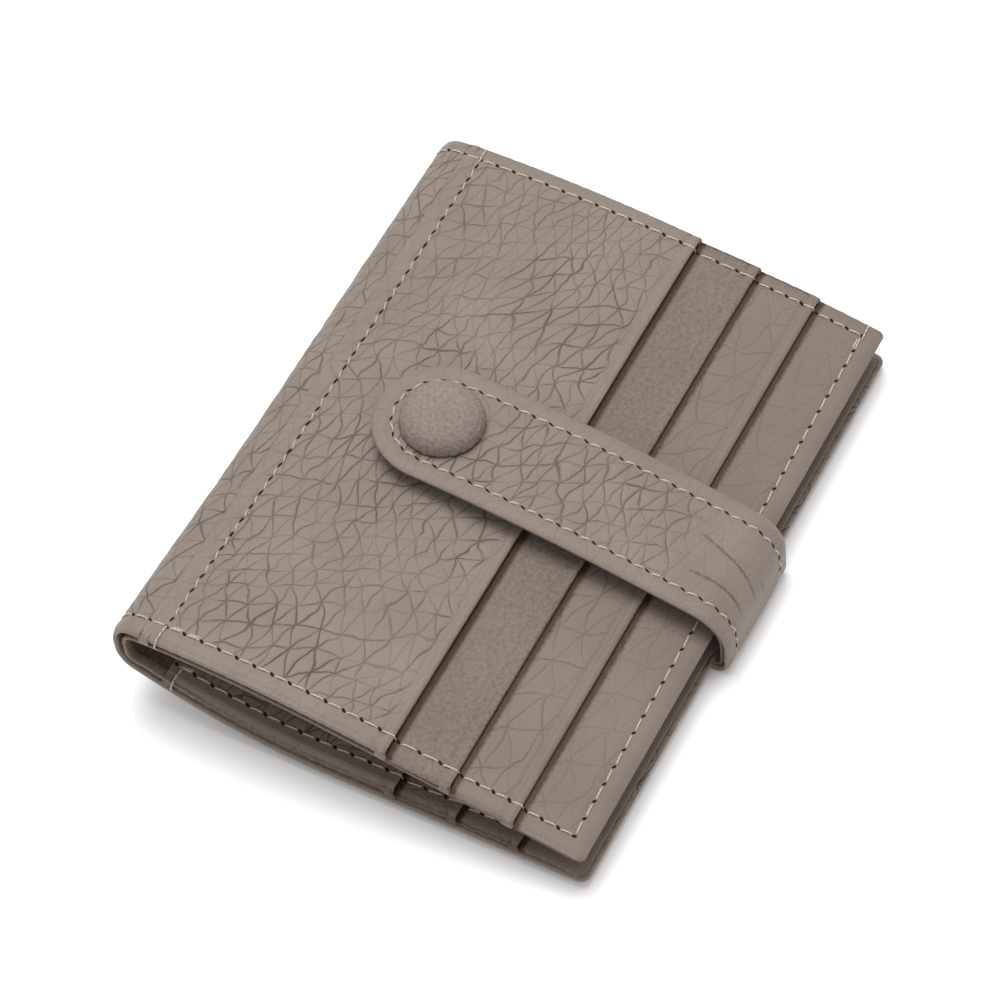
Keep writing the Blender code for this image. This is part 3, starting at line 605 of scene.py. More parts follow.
# Card pockets: each half has a pebbled panel by the spine and three slips of a thinner, finer
# leather, laid like shingles. Every mouth is turned under over a narrow strip, which leaves a ridge
# with a pressed line beside it, and all sides are turned in and sewn through.
MOUTHS = (44.5, 54.3, 64.1)
SPINE_SEAM = 8.3
PANEL_THICKNESS = 0.7
SLIP_THICKNESS = 0.5
PLY_GAP = 0.2
MOUTH_DEPTH = 0.35
FORE_DEPTH = 0.5
SLIP_HIDDEN = 3.0
HIDE_THICKNESS = 0.28
BACK_PANEL_START = 7.9
BACK_END_INSET = 0.6
BACK_SIDE_INSET = 0.35
fore_seam = DEPTH - 3.0


def back_inner(x):
    """Inner face of the back half, thinner towards the fore edge."""
    return back_under(x) + np.interp(x, [MOUTHS[1], DEPTH], [3.4, 2.2])


def slip_depth(index, x):
    """Depth of a slip below its half's top surface. Each slip rises to its own mouth."""
    above = PANEL_THICKNESS if index == 0 else MOUTH_DEPTH + SLIP_THICKNESS
    end = MOUTHS[index + 1] if index < 2 else DEPTH
    end_depth = MOUTH_DEPTH if index < 2 else FORE_DEPTH
    shown = np.interp(x, [MOUTHS[index], end], [above + PLY_GAP, end_depth])
    if index == 0:
        return shown
    return np.where(x >= MOUTHS[index], shown, slip_depth(index - 1, x) + SLIP_THICKNESS + PLY_GAP)


def visible_depth(x):
    """Depth of the outermost ply at a station."""
    depths = [0.0 * x] + [slip_depth(index, x) for index in range(3)]
    return np.choose(np.searchsorted(MOUTHS, x, side="right"), depths)


def seam_groove(x, across, seams_along):
    """How far the stitches pull the leather down beside them."""
    groove = hump(beyond_seam(across), 0.0, 0.55) * (x > SPINE_SEAM - 0.4) * (x < fore_seam + 0.4)
    for seam in seams_along:
        groove = np.maximum(groove, hump(x, seam, 0.55) * (beyond_seam(across) < 0.4))
    return -0.1 * groove


def pocket_piece(half, index, height_at, skin, sides, grain):
    """The panel (index -1) or one of the slips of a half."""
    in_front = half == "front"
    start = (LAP_EDGE if in_front else BACK_PANEL_START) if index < 0 else MOUTHS[index] - SLIP_HIDDEN
    end = MOUTHS[index + 1] if index < 2 else DEPTH - (0.0 if in_front else BACK_END_INSET)
    seams = [SPINE_SEAM] if index < 0 and in_front else [fore_seam] if index == 2 else []
    depth = (lambda x: slip_depth(index, x)) if index >= 0 else even
    track = Track(section(lambda x: height_at(x) - depth(x), np.arange(start, end + 0.1, 0.25)))
    mouth_roll = 0.26 if index < 2 else 0.35

    def lift(x, across, along):
        from_mouth = track.length - along
        ridge = 0.2 * hump(from_mouth, 0.75, 0.5) - 0.22 * hump(from_mouth, 1.65, 0.33)
        if index == 2:
            ridge = -0.2 * smooth(-from_mouth, -1.3, 0.0)
        inside = 1 - smooth(np.abs(across), edge_seam - 6, edge_seam)
        edge = -0.3 * by_edge(across, 1.5, 0.0)
        band = -0.1 * smooth(beyond_seam(across), -0.6, 0.8)
        if index < 0 and in_front:
            edge = edge + 0.06 * hump(along, 0.45, 0.4) * inside
        soft = 0.10 * np.sin(across / 7.3 + x / 11.0 + index) * np.sin(x / 6.1 + across / 17.0)
        soft = soft * smooth(x, 9.0, 15.0) * (1 - smooth(x, 64.0, 70.0))
        return ridge + edge + band + soft * inside + seam_groove(x, across, seams)

    def pressed(x, across, along):
        from_mouth = track.length - along
        flat = 0.8 * smooth(beyond_seam(across), -1.0, 0.4)
        if index < 2:
            flat = np.maximum(flat, 0.85 * (1 - smooth(from_mouth, 1.7, 2.6)))
        if fore_seam in seams:
            flat = np.maximum(flat, 0.7 * smooth(x, fore_seam - 0.4, fore_seam + 1.0))
        elif seams:
            flat = np.maximum(flat, 0.7 * (1 - smooth(x, SPINE_SEAM - 1.2, SPINE_SEAM + 0.2)))
        return flat

    # Painted shade: dark brown on each slip just past the mouth of the ply above, and on the back half's
    # turned-down sides, which lie in the shade under the front half.
    def painted_shade(x, across, along, drop):
        by_mouth = np.clip(1.9 - 1.6 * (x - MOUTHS[index]), 0.0, 1.4) if index >= 0 else 0.0 * x
        if in_front:
            return by_mouth
        by_side = 0.75 * smooth(drop, 0.0, 0.2) * by_edge(across, 2.0, 1.2)
        return np.maximum(by_mouth, by_side * (1 - smooth(x, 70.0, 73.0)))

    def narrow(x, along):
        hidden = 1 - smooth(x, MOUTHS[index] - 1.0, MOUTHS[index] - 0.1) if index >= 0 else 0.0 * x
        return 1 - 0.055 * hidden

    name = half + ("_panel" if index < 0 else "_slip_" + "abc"[index])
    half_width = HALF_LENGTH - (0.0 if in_front else BACK_SIDE_INSET)
    piece = cut_leather(
        name + "_leather", skin, track, (0.0, track.length), half_width, HIDE_THICKNESS, sides=sides,
        ends=(0.2 if index < 0 else 0.0, mouth_roll),
        corner=1.3 if index < 2 else 1.1, lift=lift, pressed=pressed, painted_shade=painted_shade, square=index < 2,
        narrow=narrow, pucker=0.02 if in_front else 0.05, spacing=0.4 if in_front else 0.5, grain=grain)
    fit(piece, (half + "_half",), "pebbled_leather" if index < 0 else "slip_leather", name)


# The first slip's leather shows its pores, the second's its creases, and the third's is nearly smooth.
slip_skins = (
    tanned("pored_slip_leather", "#73675e", "#362a20", size=1.25, depth=0.2, pores=4.4, pores_per_mm=1.5),
    tanned("creased_slip_leather", "#74685f", "#2f2217", size=1.5, depth=0.6, pores=1.4),
    tanned("smooth_slip_leather", "#74685f", "#362a20", size=1.5, depth=0.35, pores=1.4),
)
for half, height_at, panel, panel_grain, slips, slip_grain in (
    ("back", back_inner, 1.2, (1.0, 0.07), (0.85, 0.66, 0.48), (1.2, 0.03)),
    ("front", front_top, 0.75, (1.0, 0.11), (0.6, 0.6, 0.35), (1.2, 0.04)),
):
    pocket_piece(half, -1, height_at, pebbled, panel, panel_grain)
    for index, sides in enumerate(slips):
        pocket_piece(half, index, height_at, slip_skins[index], sides, slip_grain)

# Pocket cloth: a thin plain-woven lining cloth, dark brown, that closes the front pockets from
# below. It is sewn in with the front half's seams and lies flat between the panel and the lining.
CLOTH_HALF_LENGTH = 46.5
CLOTH_DEPTH = 1.6
CLOTH_THICKNESS = 0.2
# A plain weave of thin matt threads, which gives a fine dull check. At this scale of the wave pattern
# they are 0.29 mm apart.
WEAVE_SCALE = 1.1
cloth_skin, tree, _ = blank("woven_pocket_cloth", 0.8)
cloth_cut = add(tree, "Attribute", out="Vector", attribute_name="cut")
warp_threads, weft_threads = (
    add(tree, "TexWave", {"Vector": cloth_cut, "Scale": WEAVE_SCALE}, bands_direction=way) for way in "XY")
weave = add(tree, "Math MULTIPLY", (warp_threads, weft_threads))
two_shades(tree, weave, "#4a4038", "#6f6358")
cloth_track = Track(section(front_top, np.arange(LAP_END + 0.3, MOUTHS[0] - 3.2, 0.4), -CLOTH_DEPTH))
cloth = cut_leather("pocket_cloth", cloth_skin, cloth_track, (0.0, cloth_track.length), CLOTH_HALF_LENGTH,
                    CLOTH_THICKNESS, spacing=1.0, grain=(1.0, 0.0))
fit(cloth, ("front_half",), "pocket_cloth", "front_pocket_cloth")

# Strap: pebbled cowhide with turned edges, lined, and sewn under the back half. It stands up round
# the fore edge and lies over the front half. Its leather and its lining are parted half way up.
STRAP_HALF_WIDTH = 10.0
STRAP_RISE = 3.6
STRAIGHT_START = 60.0
SNAP_STATION = 27.0
UPPER_RADIUS = 7.0
LOWER_RADIUS = 2.4
STRAP_END = 22.0
STRAP_THICKNESS = 0.4
# Each crease of the bend: its start and end along it, its place across, its lean, its bow and its depth.
BEND_CREASES = (
    (-6.0, 9.5, 1.1, -0.28, 0.0, 0.12), (-5.0, 8.5, -3.8, 0.0, -0.02, 0.12),
    (5.0, 11.5, 1.3, 0.02, 0.0, 0.10), (-9.0, -2.5, 3.4, -0.2, 0.0, 0.07),
)
strap_seam = STRAP_HALF_WIDTH - 2.8


def strap_top(x):
    """Outer face of the strap over the front half, straight past its last station."""
    inside = np.minimum(x, STRAIGHT_START)
    slope = (front_top(STRAIGHT_START + 0.1) - front_top(STRAIGHT_START)) / 0.1
    return front_top(inside) + STRAP_RISE + slope * (x - inside)


def strap_arcs(inset=0.0):
    """The two bends of the strap, from the front half down to the table."""
    high, low = (REACH, float(strap_top(REACH))), (REACH, 0.0)
    along_tab = (STRAIGHT_START, float(strap_top(STRAIGHT_START)))
    upper = fillet(along_tab, high, low, UPPER_RADIUS, inset)
    lower = fillet(high, low, (STRAP_END, 0.0), LOWER_RADIUS, inset)
    return upper, lower


tab_arc, foot_arc = strap_arcs()
tab_run = section(strap_top, np.arange(SNAP_STATION - STRAP_HALF_WIDTH, tab_arc[0][0], 0.4))
foot_run = section(even, np.arange(foot_arc[-1][0] - 0.3, STRAP_END, -0.5))
strap_track = Track(tab_run + tab_arc + foot_arc + foot_run)
bend_start = Track(tab_run + tab_arc[:1]).length
half_way = Track(tab_run + tab_arc + half_between(tab_arc, foot_arc)).length
strap_upper_fold = ("strap_bend", "strap_tab", world(tab_arc[-1]), world(tab_arc[0]))
strap_lower_fold = ("back_half", "strap_bend", world(foot_arc[-1]), world(foot_arc[0]))


def spread_from_seam(along, across):
    """How far a spot lies from the middle of the strap, also round its end."""
    return np.hypot(np.clip(along - STRAP_HALF_WIDTH, None, 0.0), across)


def bend_creases(across, along, width):
    """Depth of the creases that run over the bend along the strap."""
    gone = along - bend_start
    depth = 0.0 * along
    for begin, end, place, lean, bow, deep in BEND_CREASES:
        shown = smooth(gone, begin, begin + 3.0) * (1 - smooth(gone, end - 3.0, end))
        crease = hump(across, place + lean * gone + bow * gone ** 2, width)
        depth = np.maximum(depth, deep * shown * crease)
    return depth


def strap_lift(x, across, along):
    """The strap is padded between its seams and creased in its bend. Its foot has the seams only."""
    spread = spread_from_seam(along, across)
    pad = 0.15 * np.clip(1 - (spread / strap_seam) ** 2, 0.0, 1.0)
    pad = pad * smooth(along, STRAP_HALF_WIDTH + 4, STRAP_HALF_WIDTH + 12)
    groove = -0.09 * hump(spread, strap_seam, 0.5)
    edge = -0.25 * smooth(spread, STRAP_HALF_WIDTH - 1.2, STRAP_HALF_WIDTH)
    over = pad + groove + edge - bend_creases(across, along, 0.32)
    below = smooth(along, half_way + 1, half_way + 5)
    return over * (1 - below) - 0.32 * hump(spread, strap_seam, 0.6) * below


def strap_painted_shade(x, across, along, drop):
    """Painted shade: the creases of the bend are darker in their depth."""
    return 6.0 * bend_creases(across, along, 0.26)


def strap_pressed(x, across, along):
    """The grain is pressed flat in the bend and in the band outside the strap's seam."""
    band = 0.8 * smooth(spread_from_seam(along, across), strap_seam - 0.8, strap_seam + 0.4)
    bend = 0.85 * smooth(along, bend_start - 9.0, bend_start - 3.0)
    return np.maximum(band, bend * (1 - smooth(along, half_way + 1, half_way + 9)))


strap_over = cut_leather(
    "strap_leather_over", pebbled, strap_track, (0.0, half_way), STRAP_HALF_WIDTH, STRAP_THICKNESS, sides=0.5,
    ends=(0.5, 0.0), corner=STRAP_HALF_WIDTH - 0.01, lift=strap_lift, pressed=strap_pressed,
    painted_shade=strap_painted_shade, spacing=0.22, grain=(1.0, 0.09))
fit(strap_over, strap_upper_fold, "pebbled_leather", "strap_tab_leather", "strap_bend_leather")
strap_under = cut_leather(
    "strap_leather_under", pebbled, strap_track, (half_way, strap_track.length), STRAP_HALF_WIDTH,
    STRAP_THICKNESS, sides=0.5, lift=strap_lift, pressed=strap_pressed, grain=(1.0, 0.04))
fit(strap_under, strap_lower_fold, "pebbled_leather", "strap_base")

STRAP_LINING_INSET = 1.15
STRAP_LINING_HALF_WIDTH = 9.6
STRAP_LINING_END = 74.6
STRAP_LINING_THICKNESS = 0.2
tab_inner, foot_inner = strap_arcs(STRAP_LINING_INSET)
tab_stations = np.arange(SNAP_STATION - STRAP_LINING_HALF_WIDTH, tab_inner[0][0], 0.4)
tab_inner_run = section(strap_top, tab_stations, -STRAP_LINING_INSET)
foot_stations = np.arange(foot_inner[-1][0] - 0.1, STRAP_LINING_END, -0.1)
foot_inner_run = section(even, foot_stations, STRAP_LINING_INSET)
inner_track = Track(tab_inner_run + tab_inner + foot_inner + foot_inner_run)
inner_half_way = Track(tab_inner_run + tab_inner + half_between(tab_inner, foot_inner)).length
for name, run, bodies, nodes, shape in (
    ("strap_lining_over", (0.0, inner_half_way), strap_upper_fold, ("strap_tab_lining", "strap_bend_lining"),
     dict(ends=(0.25, 0.0), corner=STRAP_LINING_HALF_WIDTH - 0.01)),
    ("strap_lining_under", (inner_half_way, inner_track.length), strap_lower_fold, (), {}),
):
    piece = cut_leather(name, lining_skin, inner_track, run, STRAP_LINING_HALF_WIDTH, STRAP_LINING_THICKNESS,
                        sides=0.25, spacing=0.5, grain=(0.6, 0.02), **shape)
    fit(piece, bodies, "lining_leather", *nodes, added=not nodes)

# Snap: the cap is a steel shell with a disc of the same cowhide stretched over it and gathered in
# round its foot. Its core, the socket, the stud and its rivet are plated steel and keep their
# solids.
CAP_RADIUS = 6.3
CAP_HEIGHT = 4.1
CAP_FOOT = 3.85
CAP_HIDE_THICKNESS = 0.35
dome_height = CAP_HEIGHT - 0.35
snap_slope = float((front_top(SNAP_STATION + 0.1) - front_top(SNAP_STATION)) / 0.1)
snap_stand = Matrix.Translation(((SNAP_STATION - REACH / 2) * MM, 0.0, float(front_top(SNAP_STATION)) * MM))
snap_stand = snap_stand @ Matrix.Rotation(-math.atan(snap_slope), 4, "Y")

# Stretching opens the pores of the hide, draws its creases flat and makes it shine a little more.
cap_skin = tanned("stretched_cap_leather", "#81756d", "#443629", size=0.4, depth=0.12, pores=4.6,
                  pores_per_mm=1.4, roughness=0.42)
maker = bmesh.new()
profile = [(0.0, dome_height)]
for turn in np.linspace(math.pi / 2, -0.35, 30)[1:]:
    if turn > 0:
        profile.append((CAP_RADIUS * math.cos(turn) ** 0.78, dome_height * math.sin(turn) ** 0.82))
    else:
        profile.append((CAP_RADIUS * math.cos(turn), math.sin(turn) * 0.8))
profile += [(CAP_RADIUS * 0.86, -0.12), (CAP_RADIUS * 0.8, 0.25)]
ring = [maker.verts.new((radius * MM, 0.0, (CAP_FOOT + height) * MM)) for radius, height in profile]
for pair in zip(ring, ring[1:]):
    maker.edges.new(pair)
bmesh.ops.spin(maker, geom=maker.verts[:] + maker.edges[:], cent=(0, 0, 0), axis=(0, 0, 1),
               angle=2 * math.pi, steps=96, use_merge=True)
bmesh.ops.remove_doubles(maker, verts=maker.verts[:], dist=0.002 * MM)
bmesh.ops.recalc_face_normals(maker, faces=maker.faces[:])
cut_layer = maker.verts.layers.float_vector.new("cut")
painted_shade_layer = maker.verts.layers.float.new("painted_shade")
for corner in maker.verts:
    spread = math.hypot(corner.co.x, corner.co.y) / MM
    height = corner.co.z / MM - CAP_FOOT
    around = math.atan2(corner.co.y, corner.co.x)
    rolled = spread + max(CAP_HEIGHT - height, 0.0) * 0.7
    corner[cut_layer] = (rolled * math.cos(around), rolled * math.sin(around), 0.0)
    at_foot = spread > CAP_RADIUS * 0.7
    # Painted shade: a dark line round the foot of the cap, where the gathered hide meets the strap.
    corner[painted_shade_layer] = min(max(1.0 - height / 0.3, 0.0), 1.2) if at_foot else 0.0
    gather = max(1 - height / 1.6, 0.0) if at_foot else 0.0
    pleats = math.sin(31 * around + 1.3 * math.sin(5 * around)) + 0.6 * math.sin(17 * around + 2)
    soft = 0.05 * math.sin(3 * around + 1.0) * min(spread / CAP_RADIUS, 1.0)
    factor = 1 + (0.07 * gather * pleats + soft) / max(spread, 1.0)
    corner.co.x *= factor
    corner.co.y *= factor
bmesh.ops.transform(maker, matrix=snap_stand, verts=maker.verts[:])
cap = settle(keep("snap_cap_cover", finished("snap_cap_cover", maker), cap_skin), CAP_HIDE_THICKNESS)
fit(cap, ("strap_tab",), "pebbled_leather", "snap_cap_leather")

# Steel with an antique plating, which gives a dull grey shine with lighter spots where it is worn.
WORN_SPOTS_PER_MM = 1.5
steel, tree, shader = blank("antique_plated_steel")
shader.inputs["Metallic"].default_value = 1.0
wear = add(tree, "TexNoise", {"Vector": add(tree, "TexCoord", out="Object"), "Scale": WORN_SPOTS_PER_MM / MM,
                              "Detail": 4.0})
two_shades(tree, wear, "#8c8880", "#b9b5ac", (0.3, 0.7))
tree.links.new(add(tree, "MapRange", (wear, 0.3, 0.7, 0.2, 0.34)), shader.inputs["Roughness"])
dress(steel, "snap_cap_core", "snap_socket", "snap_stud", "stud_rivet")

# Seams: lockstitched bonded polyester thread, three plies, 2.8 mm a stitch and lighter than the
# leather. Each stitch lies a little aslant between two needle holes, and every hole shows dark.
STITCH_PITCH = 2.8
FORE_PITCH = 3.05
MOUTH_PITCH = 3.2
BACK_SEAM_START = 8.35
STRAP_END_SEAM = 24.5
# The thread's bonding gives it a satin shine, and its twist shows as slanting ridges. At this scale of
# the wave pattern they are 0.7 mm apart.
TWIST_SCALE = 0.9
thread_skin, tree, shader = blank("bonded_polyester_thread", 0.45)
thread_cut = add(tree, "Attribute", out="Vector", attribute_name="cut")
plies = add(tree, "TexWave", {"Vector": thread_cut, "Scale": TWIST_SCALE}, bands_direction="DIAGONAL")
two_shades(tree, plies, "#9a8f80", "#bdb2a3")
ply_bump = add(tree, "Bump", {"Strength": 0.7, "Distance": 0.04 * MM, "Height": plies})
tree.links.new(ply_bump, shader.inputs["Normal"])

# A needle hole is raw leather in shadow, nearly black and without any shine.
HOLE_FIBRES_PER_MM = 2.5
hole_skin, tree, shader = blank("needle_hole_shadow", 1.0)
shader.inputs["Specular IOR Level"].default_value = 0.0
hole_noise = add(tree, "TexNoise", {"Vector": add(tree, "TexCoord", out="Object"),
                                    "Scale": HOLE_FIBRES_PER_MM / MM})
two_shades(tree, hole_noise, "#22150b", "#38281b")


def one_stitch():
    """A straight stitch of length 1 along x, as a mesh to copy."""
    shape = bmesh.new()
    bmesh.ops.create_cone(shape, cap_ends=True, segments=8, radius1=1.0, radius2=1.0, depth=1.0,
                          matrix=Matrix.Rotation(math.pi / 2, 4, "Y"))
    long_edges = [edge for edge in shape.edges if abs(edge.verts[0].co.x - edge.verts[1].co.x) > 0.5]
    bmesh.ops.subdivide_edges(shape, edges=long_edges, cuts=5)
    return finished("stitch", shape)


def one_hole():
    """A flat round pit of radius 1, as a mesh to copy."""
    shape = bmesh.new()
    bmesh.ops.create_cone(shape, cap_ends=True, segments=10, radius1=1.0, radius2=0.7, depth=1.0)
    return finished("hole", shape)


stitch_shape, hole_shape = one_stitch(), one_hole()


def copied(maker, shape):
    """Adds a copy of a mesh and gives its corners."""
    before = len(maker.verts)
    maker.from_mesh(shape)
    maker.verts.ensure_lookup_table()
    return maker.verts[before:]


def sew(name, holes, bodies, nodes=(), thick=0.15, shown=0.84, slant=0.08, sink=0.4, pit=(0.44, 0.24, -0.6),
        pits_at=None, ground=None):
    """Stitches and needle slits along a row of (place, up) pairs in mm. A slit is long, wide and turned
    by pit, and a stitch stays above the ground."""
    maker, pits = bmesh.new(), bmesh.new()
    cut_layer = maker.verts.layers.float_vector.new("cut")
    for number, ((start, up), (end, next_up)) in enumerate(zip(holes, holes[1:])):
        start, end = Vector(start), Vector(end)
        way = end - start
        length = way.length
        sag = length * Vector(up).angle(Vector(next_up)) / 8
        up = (Vector(up).normalized() + Vector(next_up).normalized()).normalized()
        way.normalize()
        side = up.cross(way).normalized()
        up = way.cross(side)
        for corner in copied(maker, stitch_shape):
            share = corner.co.x
            full = math.sqrt(max(1 - (abs(share) / 0.5) ** 4, 0.0)) * 0.45 + 0.55
            height = thick * 0.55 - sink * abs(share * 2) ** 4 + sag * (1 - (share * 2) ** 2)
            around = math.atan2(corner.co.z, corner.co.y)
            corner[cut_layer] = (share * length + number * 3.0, around * thick, 0.0)
            spot = start + way * (length * (0.5 + share * shown))
            if ground:
                spot.z += max(ground(spot.x + REACH / 2) - spot.z, 0.0)
            spot += side * (corner.co.y * thick * full + slant * share * 2)
            spot += up * (corner.co.z * thick * full + height)
            spot.z += swell(*spot)
            corner.co = spot * MM
    for number, (spot, up) in enumerate(holes):
        if pits_at is not None and number not in pits_at:
            continue
        spot, up = Vector(spot), Vector(up).normalized()
        other = Vector(holes[min(number + 1, len(holes) - 1)][0]) - Vector(holes[max(number - 1, 0)][0])
        side = up.cross(other.normalized()).normalized()
        way = side.cross(up)
        long, wide, turned = pit
        for corner in copied(pits, hole_shape):
            along = corner.co.x * long * math.cos(turned) - corner.co.y * wide * math.sin(turned)
            across = corner.co.x * long * math.sin(turned) + corner.co.y * wide * math.cos(turned)
            place = spot + way * along + side * across + up * (corner.co.z * 0.12 + 0.03)
            place.z += swell(*place)
            corner.co = place * MM
    for label, source, skin in ((name, maker, thread_skin), (name + "_holes", pits, hole_skin)):
        if source.verts:
            mesh = finished(label, source)
            mesh.shade_smooth()
            fit(keep(label, mesh, skin), bodies, "sewing_thread", *nodes, added=label != name)


def spaced(start, end, pitch=STITCH_PITCH):
    """Needle holes from start to end, with a whole number of stitches."""
    return np.linspace(start, end, max(round(abs(end - start) / pitch), 1) + 1)


def hole_level(height_at, x):
    """How high a needle hole of a half lies, a little below the leather."""
    return float(height_at(x) - visible_depth(x)) - 0.12


def on_half(height_at, x, y):
    """The place and the upright of a needle hole on a half."""
    slope = (hole_level(height_at, x + 0.2) - hole_level(height_at, x - 0.2)) / 0.4
    return (x - REACH / 2, y, hole_level(height_at, x)), (-max(min(slope, 0.2), -0.4), 0.0, 1.0)


def round_seam(height_at, start):
    """Needle holes round three sides of a half. One lies just past each mouth."""
    stops = [start] + [mouth + 0.4 for mouth in MOUTHS] + [fore_seam]
    pitches = (STITCH_PITCH, MOUTH_PITCH, STITCH_PITCH, STITCH_PITCH)
    rows = [spaced(*ends, pitch)[1:] for ends, pitch in zip(zip(stops, stops[1:]), pitches)]
    across = np.concatenate([[start - 2.7, start] if start == SPINE_SEAM else [start]] + rows)
    spots = [(x, -edge_seam) for x in across]
    spots += [(fore_seam, y) for y in spaced(-edge_seam, far_seam, FORE_PITCH)[1:]]
    spots += [(x, far_seam) for x in across[-2::-1]]
    return [on_half(height_at, x, y) for x, y in spots]


for name, height_at, start in (("front", front_top, SPINE_SEAM), ("back", back_inner, BACK_SEAM_START)):
    sew(name + "_seam", round_seam(height_at, start), (name + "_half",), (name + "_thread",),
        ground=lambda x: max(hole_level(height_at, x), hole_level(height_at, x - 0.15)))
sew("spine_seam", [on_half(front_top, SPINE_SEAM, y) for y in spaced(-edge_seam + 1.4, far_seam - 1.4)],
    ("front_half",), ("spine_seam_thread",), shown=0.56, slant=0.2, pit=(0.62, 0.2, -0.2))


def on_track(track, spots, lift):
    """Needle holes at (distance, y) spots of a bent piece, on the face that its lift gives."""
    holes = []
    for distance, y in spots:
        gone = np.array([distance])
        rise = lift(track.place(gone, 0.0)[0], y, gone)
        x, z = track.place(gone, rise)
        far_x, far_z = track.place(gone, rise + 1.0)
        holes.append(((x[0] - REACH / 2, y, z[0]), (far_x[0] - x[0], 0.0, far_z[0] - z[0])))
    return holes


def row(distances, y):
    """Spots at one y along a bent piece."""
    return [(distance, y) for distance in distances]


# The spine's two rows, and the back half's seam under the cover, but for the stretch under the strap.
fore_distance, spine_distance = cover_track.distance(fore_seam), cover_track.distance(SPINE_SEAM)
for side, y in (("near", -edge_seam), ("far", far_seam)):
    lower_row = row(spaced(spine_distance, parting), y)
    upper_row = row(spaced(parting, cover_track.distance(SPINE_SEAM, parting)), y)[:-1]
    sew("spine_seam_lower_" + side, on_track(cover_track, lower_row, cover_lift), lower_fold)
    sew("spine_seam_upper_" + side, on_track(cover_track, upper_row, cover_lift), upper_fold,
        ("spine_thread_" + side,), pits_at=range(1, 20))

strap_round = np.linspace(math.pi / 2, 3 * math.pi / 2, round(math.pi * strap_seam / STITCH_PITCH) + 1)
tab_straight = spaced(half_way, STRAP_HALF_WIDTH)
tab_spots = row(tab_straight[:-1], strap_seam)
tab_spots += [(STRAP_HALF_WIDTH + strap_seam * math.cos(turn), strap_seam * math.sin(turn))
              for turn in strap_round]
tab_spots += row(tab_straight[-2::-1], -strap_seam)
sew("strap_seam_over", on_track(strap_track, tab_spots, lambda *spot: -0.1), strap_upper_fold,
    ("strap_tab_thread", "strap_bend_thread_near", "strap_bend_thread_far"),
    thick=0.17, shown=0.62, slant=0.17, pit=(0.55, 0.18, -0.34))
foot_straight = spaced(half_way, strap_track.distance(STRAP_END_SEAM, half_way))
for side, y in (("near", -strap_seam), ("far", strap_seam)):
    foot_spots = row(foot_straight, y) + [(foot_straight[-1], across) for across in spaced(y, 0.0)[1:]]
    sew("strap_seam_under_" + side, on_track(strap_track, foot_spots, lambda *spot: -0.3), strap_lower_fold,
        pits_at=range(1, len(foot_spots)))
for side, y, strap_side in (
    ("near", -edge_seam, -STRAP_HALF_WIDTH - 0.8), ("far", far_seam, STRAP_HALF_WIDTH + 0.8),
):
    spots = row(spaced(spine_distance, fore_distance), y)
    spots += [(fore_distance, across) for across in spaced(y, strap_side)[1:]]
    sew("back_seam_under_" + side, on_track(cover_track, spots, cover_lift), ("back_half",))

# Where a seam starts or ends, its thread runs back over a stitch or two and once over the edge. Each
# spot of that turn: its place across, its height, and how far its upright points outward and up.
EDGE_TURN = (
    (47.0, -0.05, 0.0, 1.0), (48.2, -0.05, 0.15, 1.0), (49.3, -0.2, 0.5, 0.9),
    (50.0, -0.75, 1.0, 0.3), (50.1, -1.4, 1.0, -0.2), (49.7, -2.0, 0.8, -0.6),
)
for name, half, height_at, station, side, count in (
    ("front_edge_turn_near", "front_half", front_top, 8.3, -1, 6),
    ("front_edge_turn_far", "front_half", front_top, 8.3, 1, 6),
    ("front_edge_turn_fore", "front_half", front_top, 72.3, 1, 4),
    ("back_edge_turn_near", "back_half", back_inner, 9.4, -1, 6),
):
    level = float(height_at(station) - visible_depth(station))
    spots = [((station - REACH / 2 - 0.1 * number, side * y, level + z), (0.0, side * out, up))
             for number, (y, z, out, up) in enumerate(EDGE_TURN[:count])]
    sew(name, spots, (half,), shown=1.1, slant=0.0, sink=0.04, pits_at=())
for name, half, height_at, doubled in (
    ("front_backstitch_near", "front_half", front_top, [(8.6, -46.7), (11.3, -46.7), (14.1, -46.7)]),
    ("front_backstitch_fore", "front_half", front_top, [(71.7, 47.4), (71.65, 44.4)]),
    ("back_backstitch_near", "back_half", back_inner, [(8.6, -46.7), (11.3, -46.7)]),
):
    sew(name, [on_half(height_at, x, y) for x, y in doubled], (half,), pits_at=())

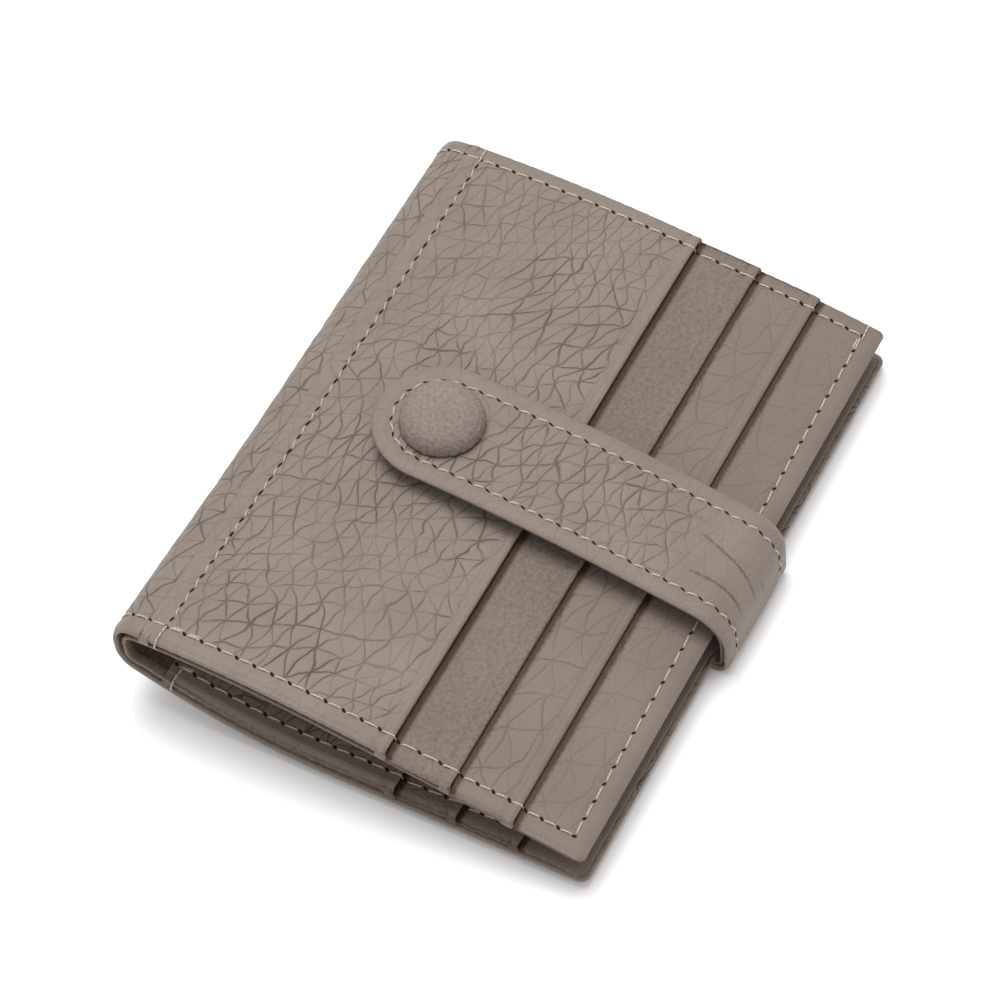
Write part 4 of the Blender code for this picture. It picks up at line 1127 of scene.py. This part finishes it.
# Stage: a plain pale table, a large soft light overhead, and the camera at the photograph's angle.
# The light's place is in metres. The camera's is in millimetres, and its elevation, azimuth and
# roll are in degrees. Its focal length is a share of its sensor's width.
LIGHT_PLACE = (-0.14, 0.14, 0.9)
CAMERA_PLACE = (176.43, -275.14, 482.27)
CAMERA_TURNS = (55.416, 123.141, 6.688)
SENSOR_WIDTH = 36.0
FOCAL_SHARE = 3.9398
maker = bmesh.new()
bmesh.ops.create_grid(maker, x_segments=1, y_segments=1, size=3.0)
table_skin, _, shader = blank("white_table", 0.9)
shader.inputs["Base Color"].default_value = (0.97, 0.97, 0.97, 1.0)
table = keep("table", finished("table", maker), table_skin)
table.location.z = -0.1 * MM

room = bpy.data.worlds.new("room")
room.use_nodes = True
room.node_tree.nodes["Background"].inputs["Color"].default_value = (1.0, 1.0, 1.0, 1.0)
room.node_tree.nodes["Background"].inputs["Strength"].default_value = 0.75
bpy.context.scene.world = room

lamp = bpy.data.lights.new("overhead", "AREA")
lamp.size = 0.55
lamp.energy = 7.0
light = bpy.data.objects.new("overhead", lamp)
light.location = LIGHT_PLACE
light.rotation_mode = "QUATERNION"
light.rotation_quaternion = Vector(LIGHT_PLACE).to_track_quat("Z", "Y")
bpy.context.scene.collection.objects.link(light)

camera_data = bpy.data.cameras.new("camera")
camera_data.sensor_width = SENSOR_WIDTH
camera_data.lens = FOCAL_SHARE * SENSOR_WIDTH
camera_data.clip_start = 0.01
camera = bpy.data.objects.new("camera", camera_data)
elevation, azimuth, roll = (math.radians(angle) for angle in CAMERA_TURNS)
level = math.cos(elevation)
forward = Vector((level * math.cos(azimuth), level * math.sin(azimuth), -math.sin(elevation)))
right = forward.cross(Vector((0, 0, 1))).normalized()
down = forward.cross(right)
turned_right = right * math.cos(roll) + down * math.sin(roll)
turned_down = down * math.cos(roll) - right * math.sin(roll)
basis = Matrix((turned_right, -turned_down, -forward)).transposed()
camera.matrix_world = Matrix.Translation(Vector(CAMERA_PLACE) * MM) @ basis.to_4x4()
bpy.context.scene.collection.objects.link(camera)
bpy.context.scene.camera = camera
bpy.context.scene.view_settings.view_transform = "Standard"
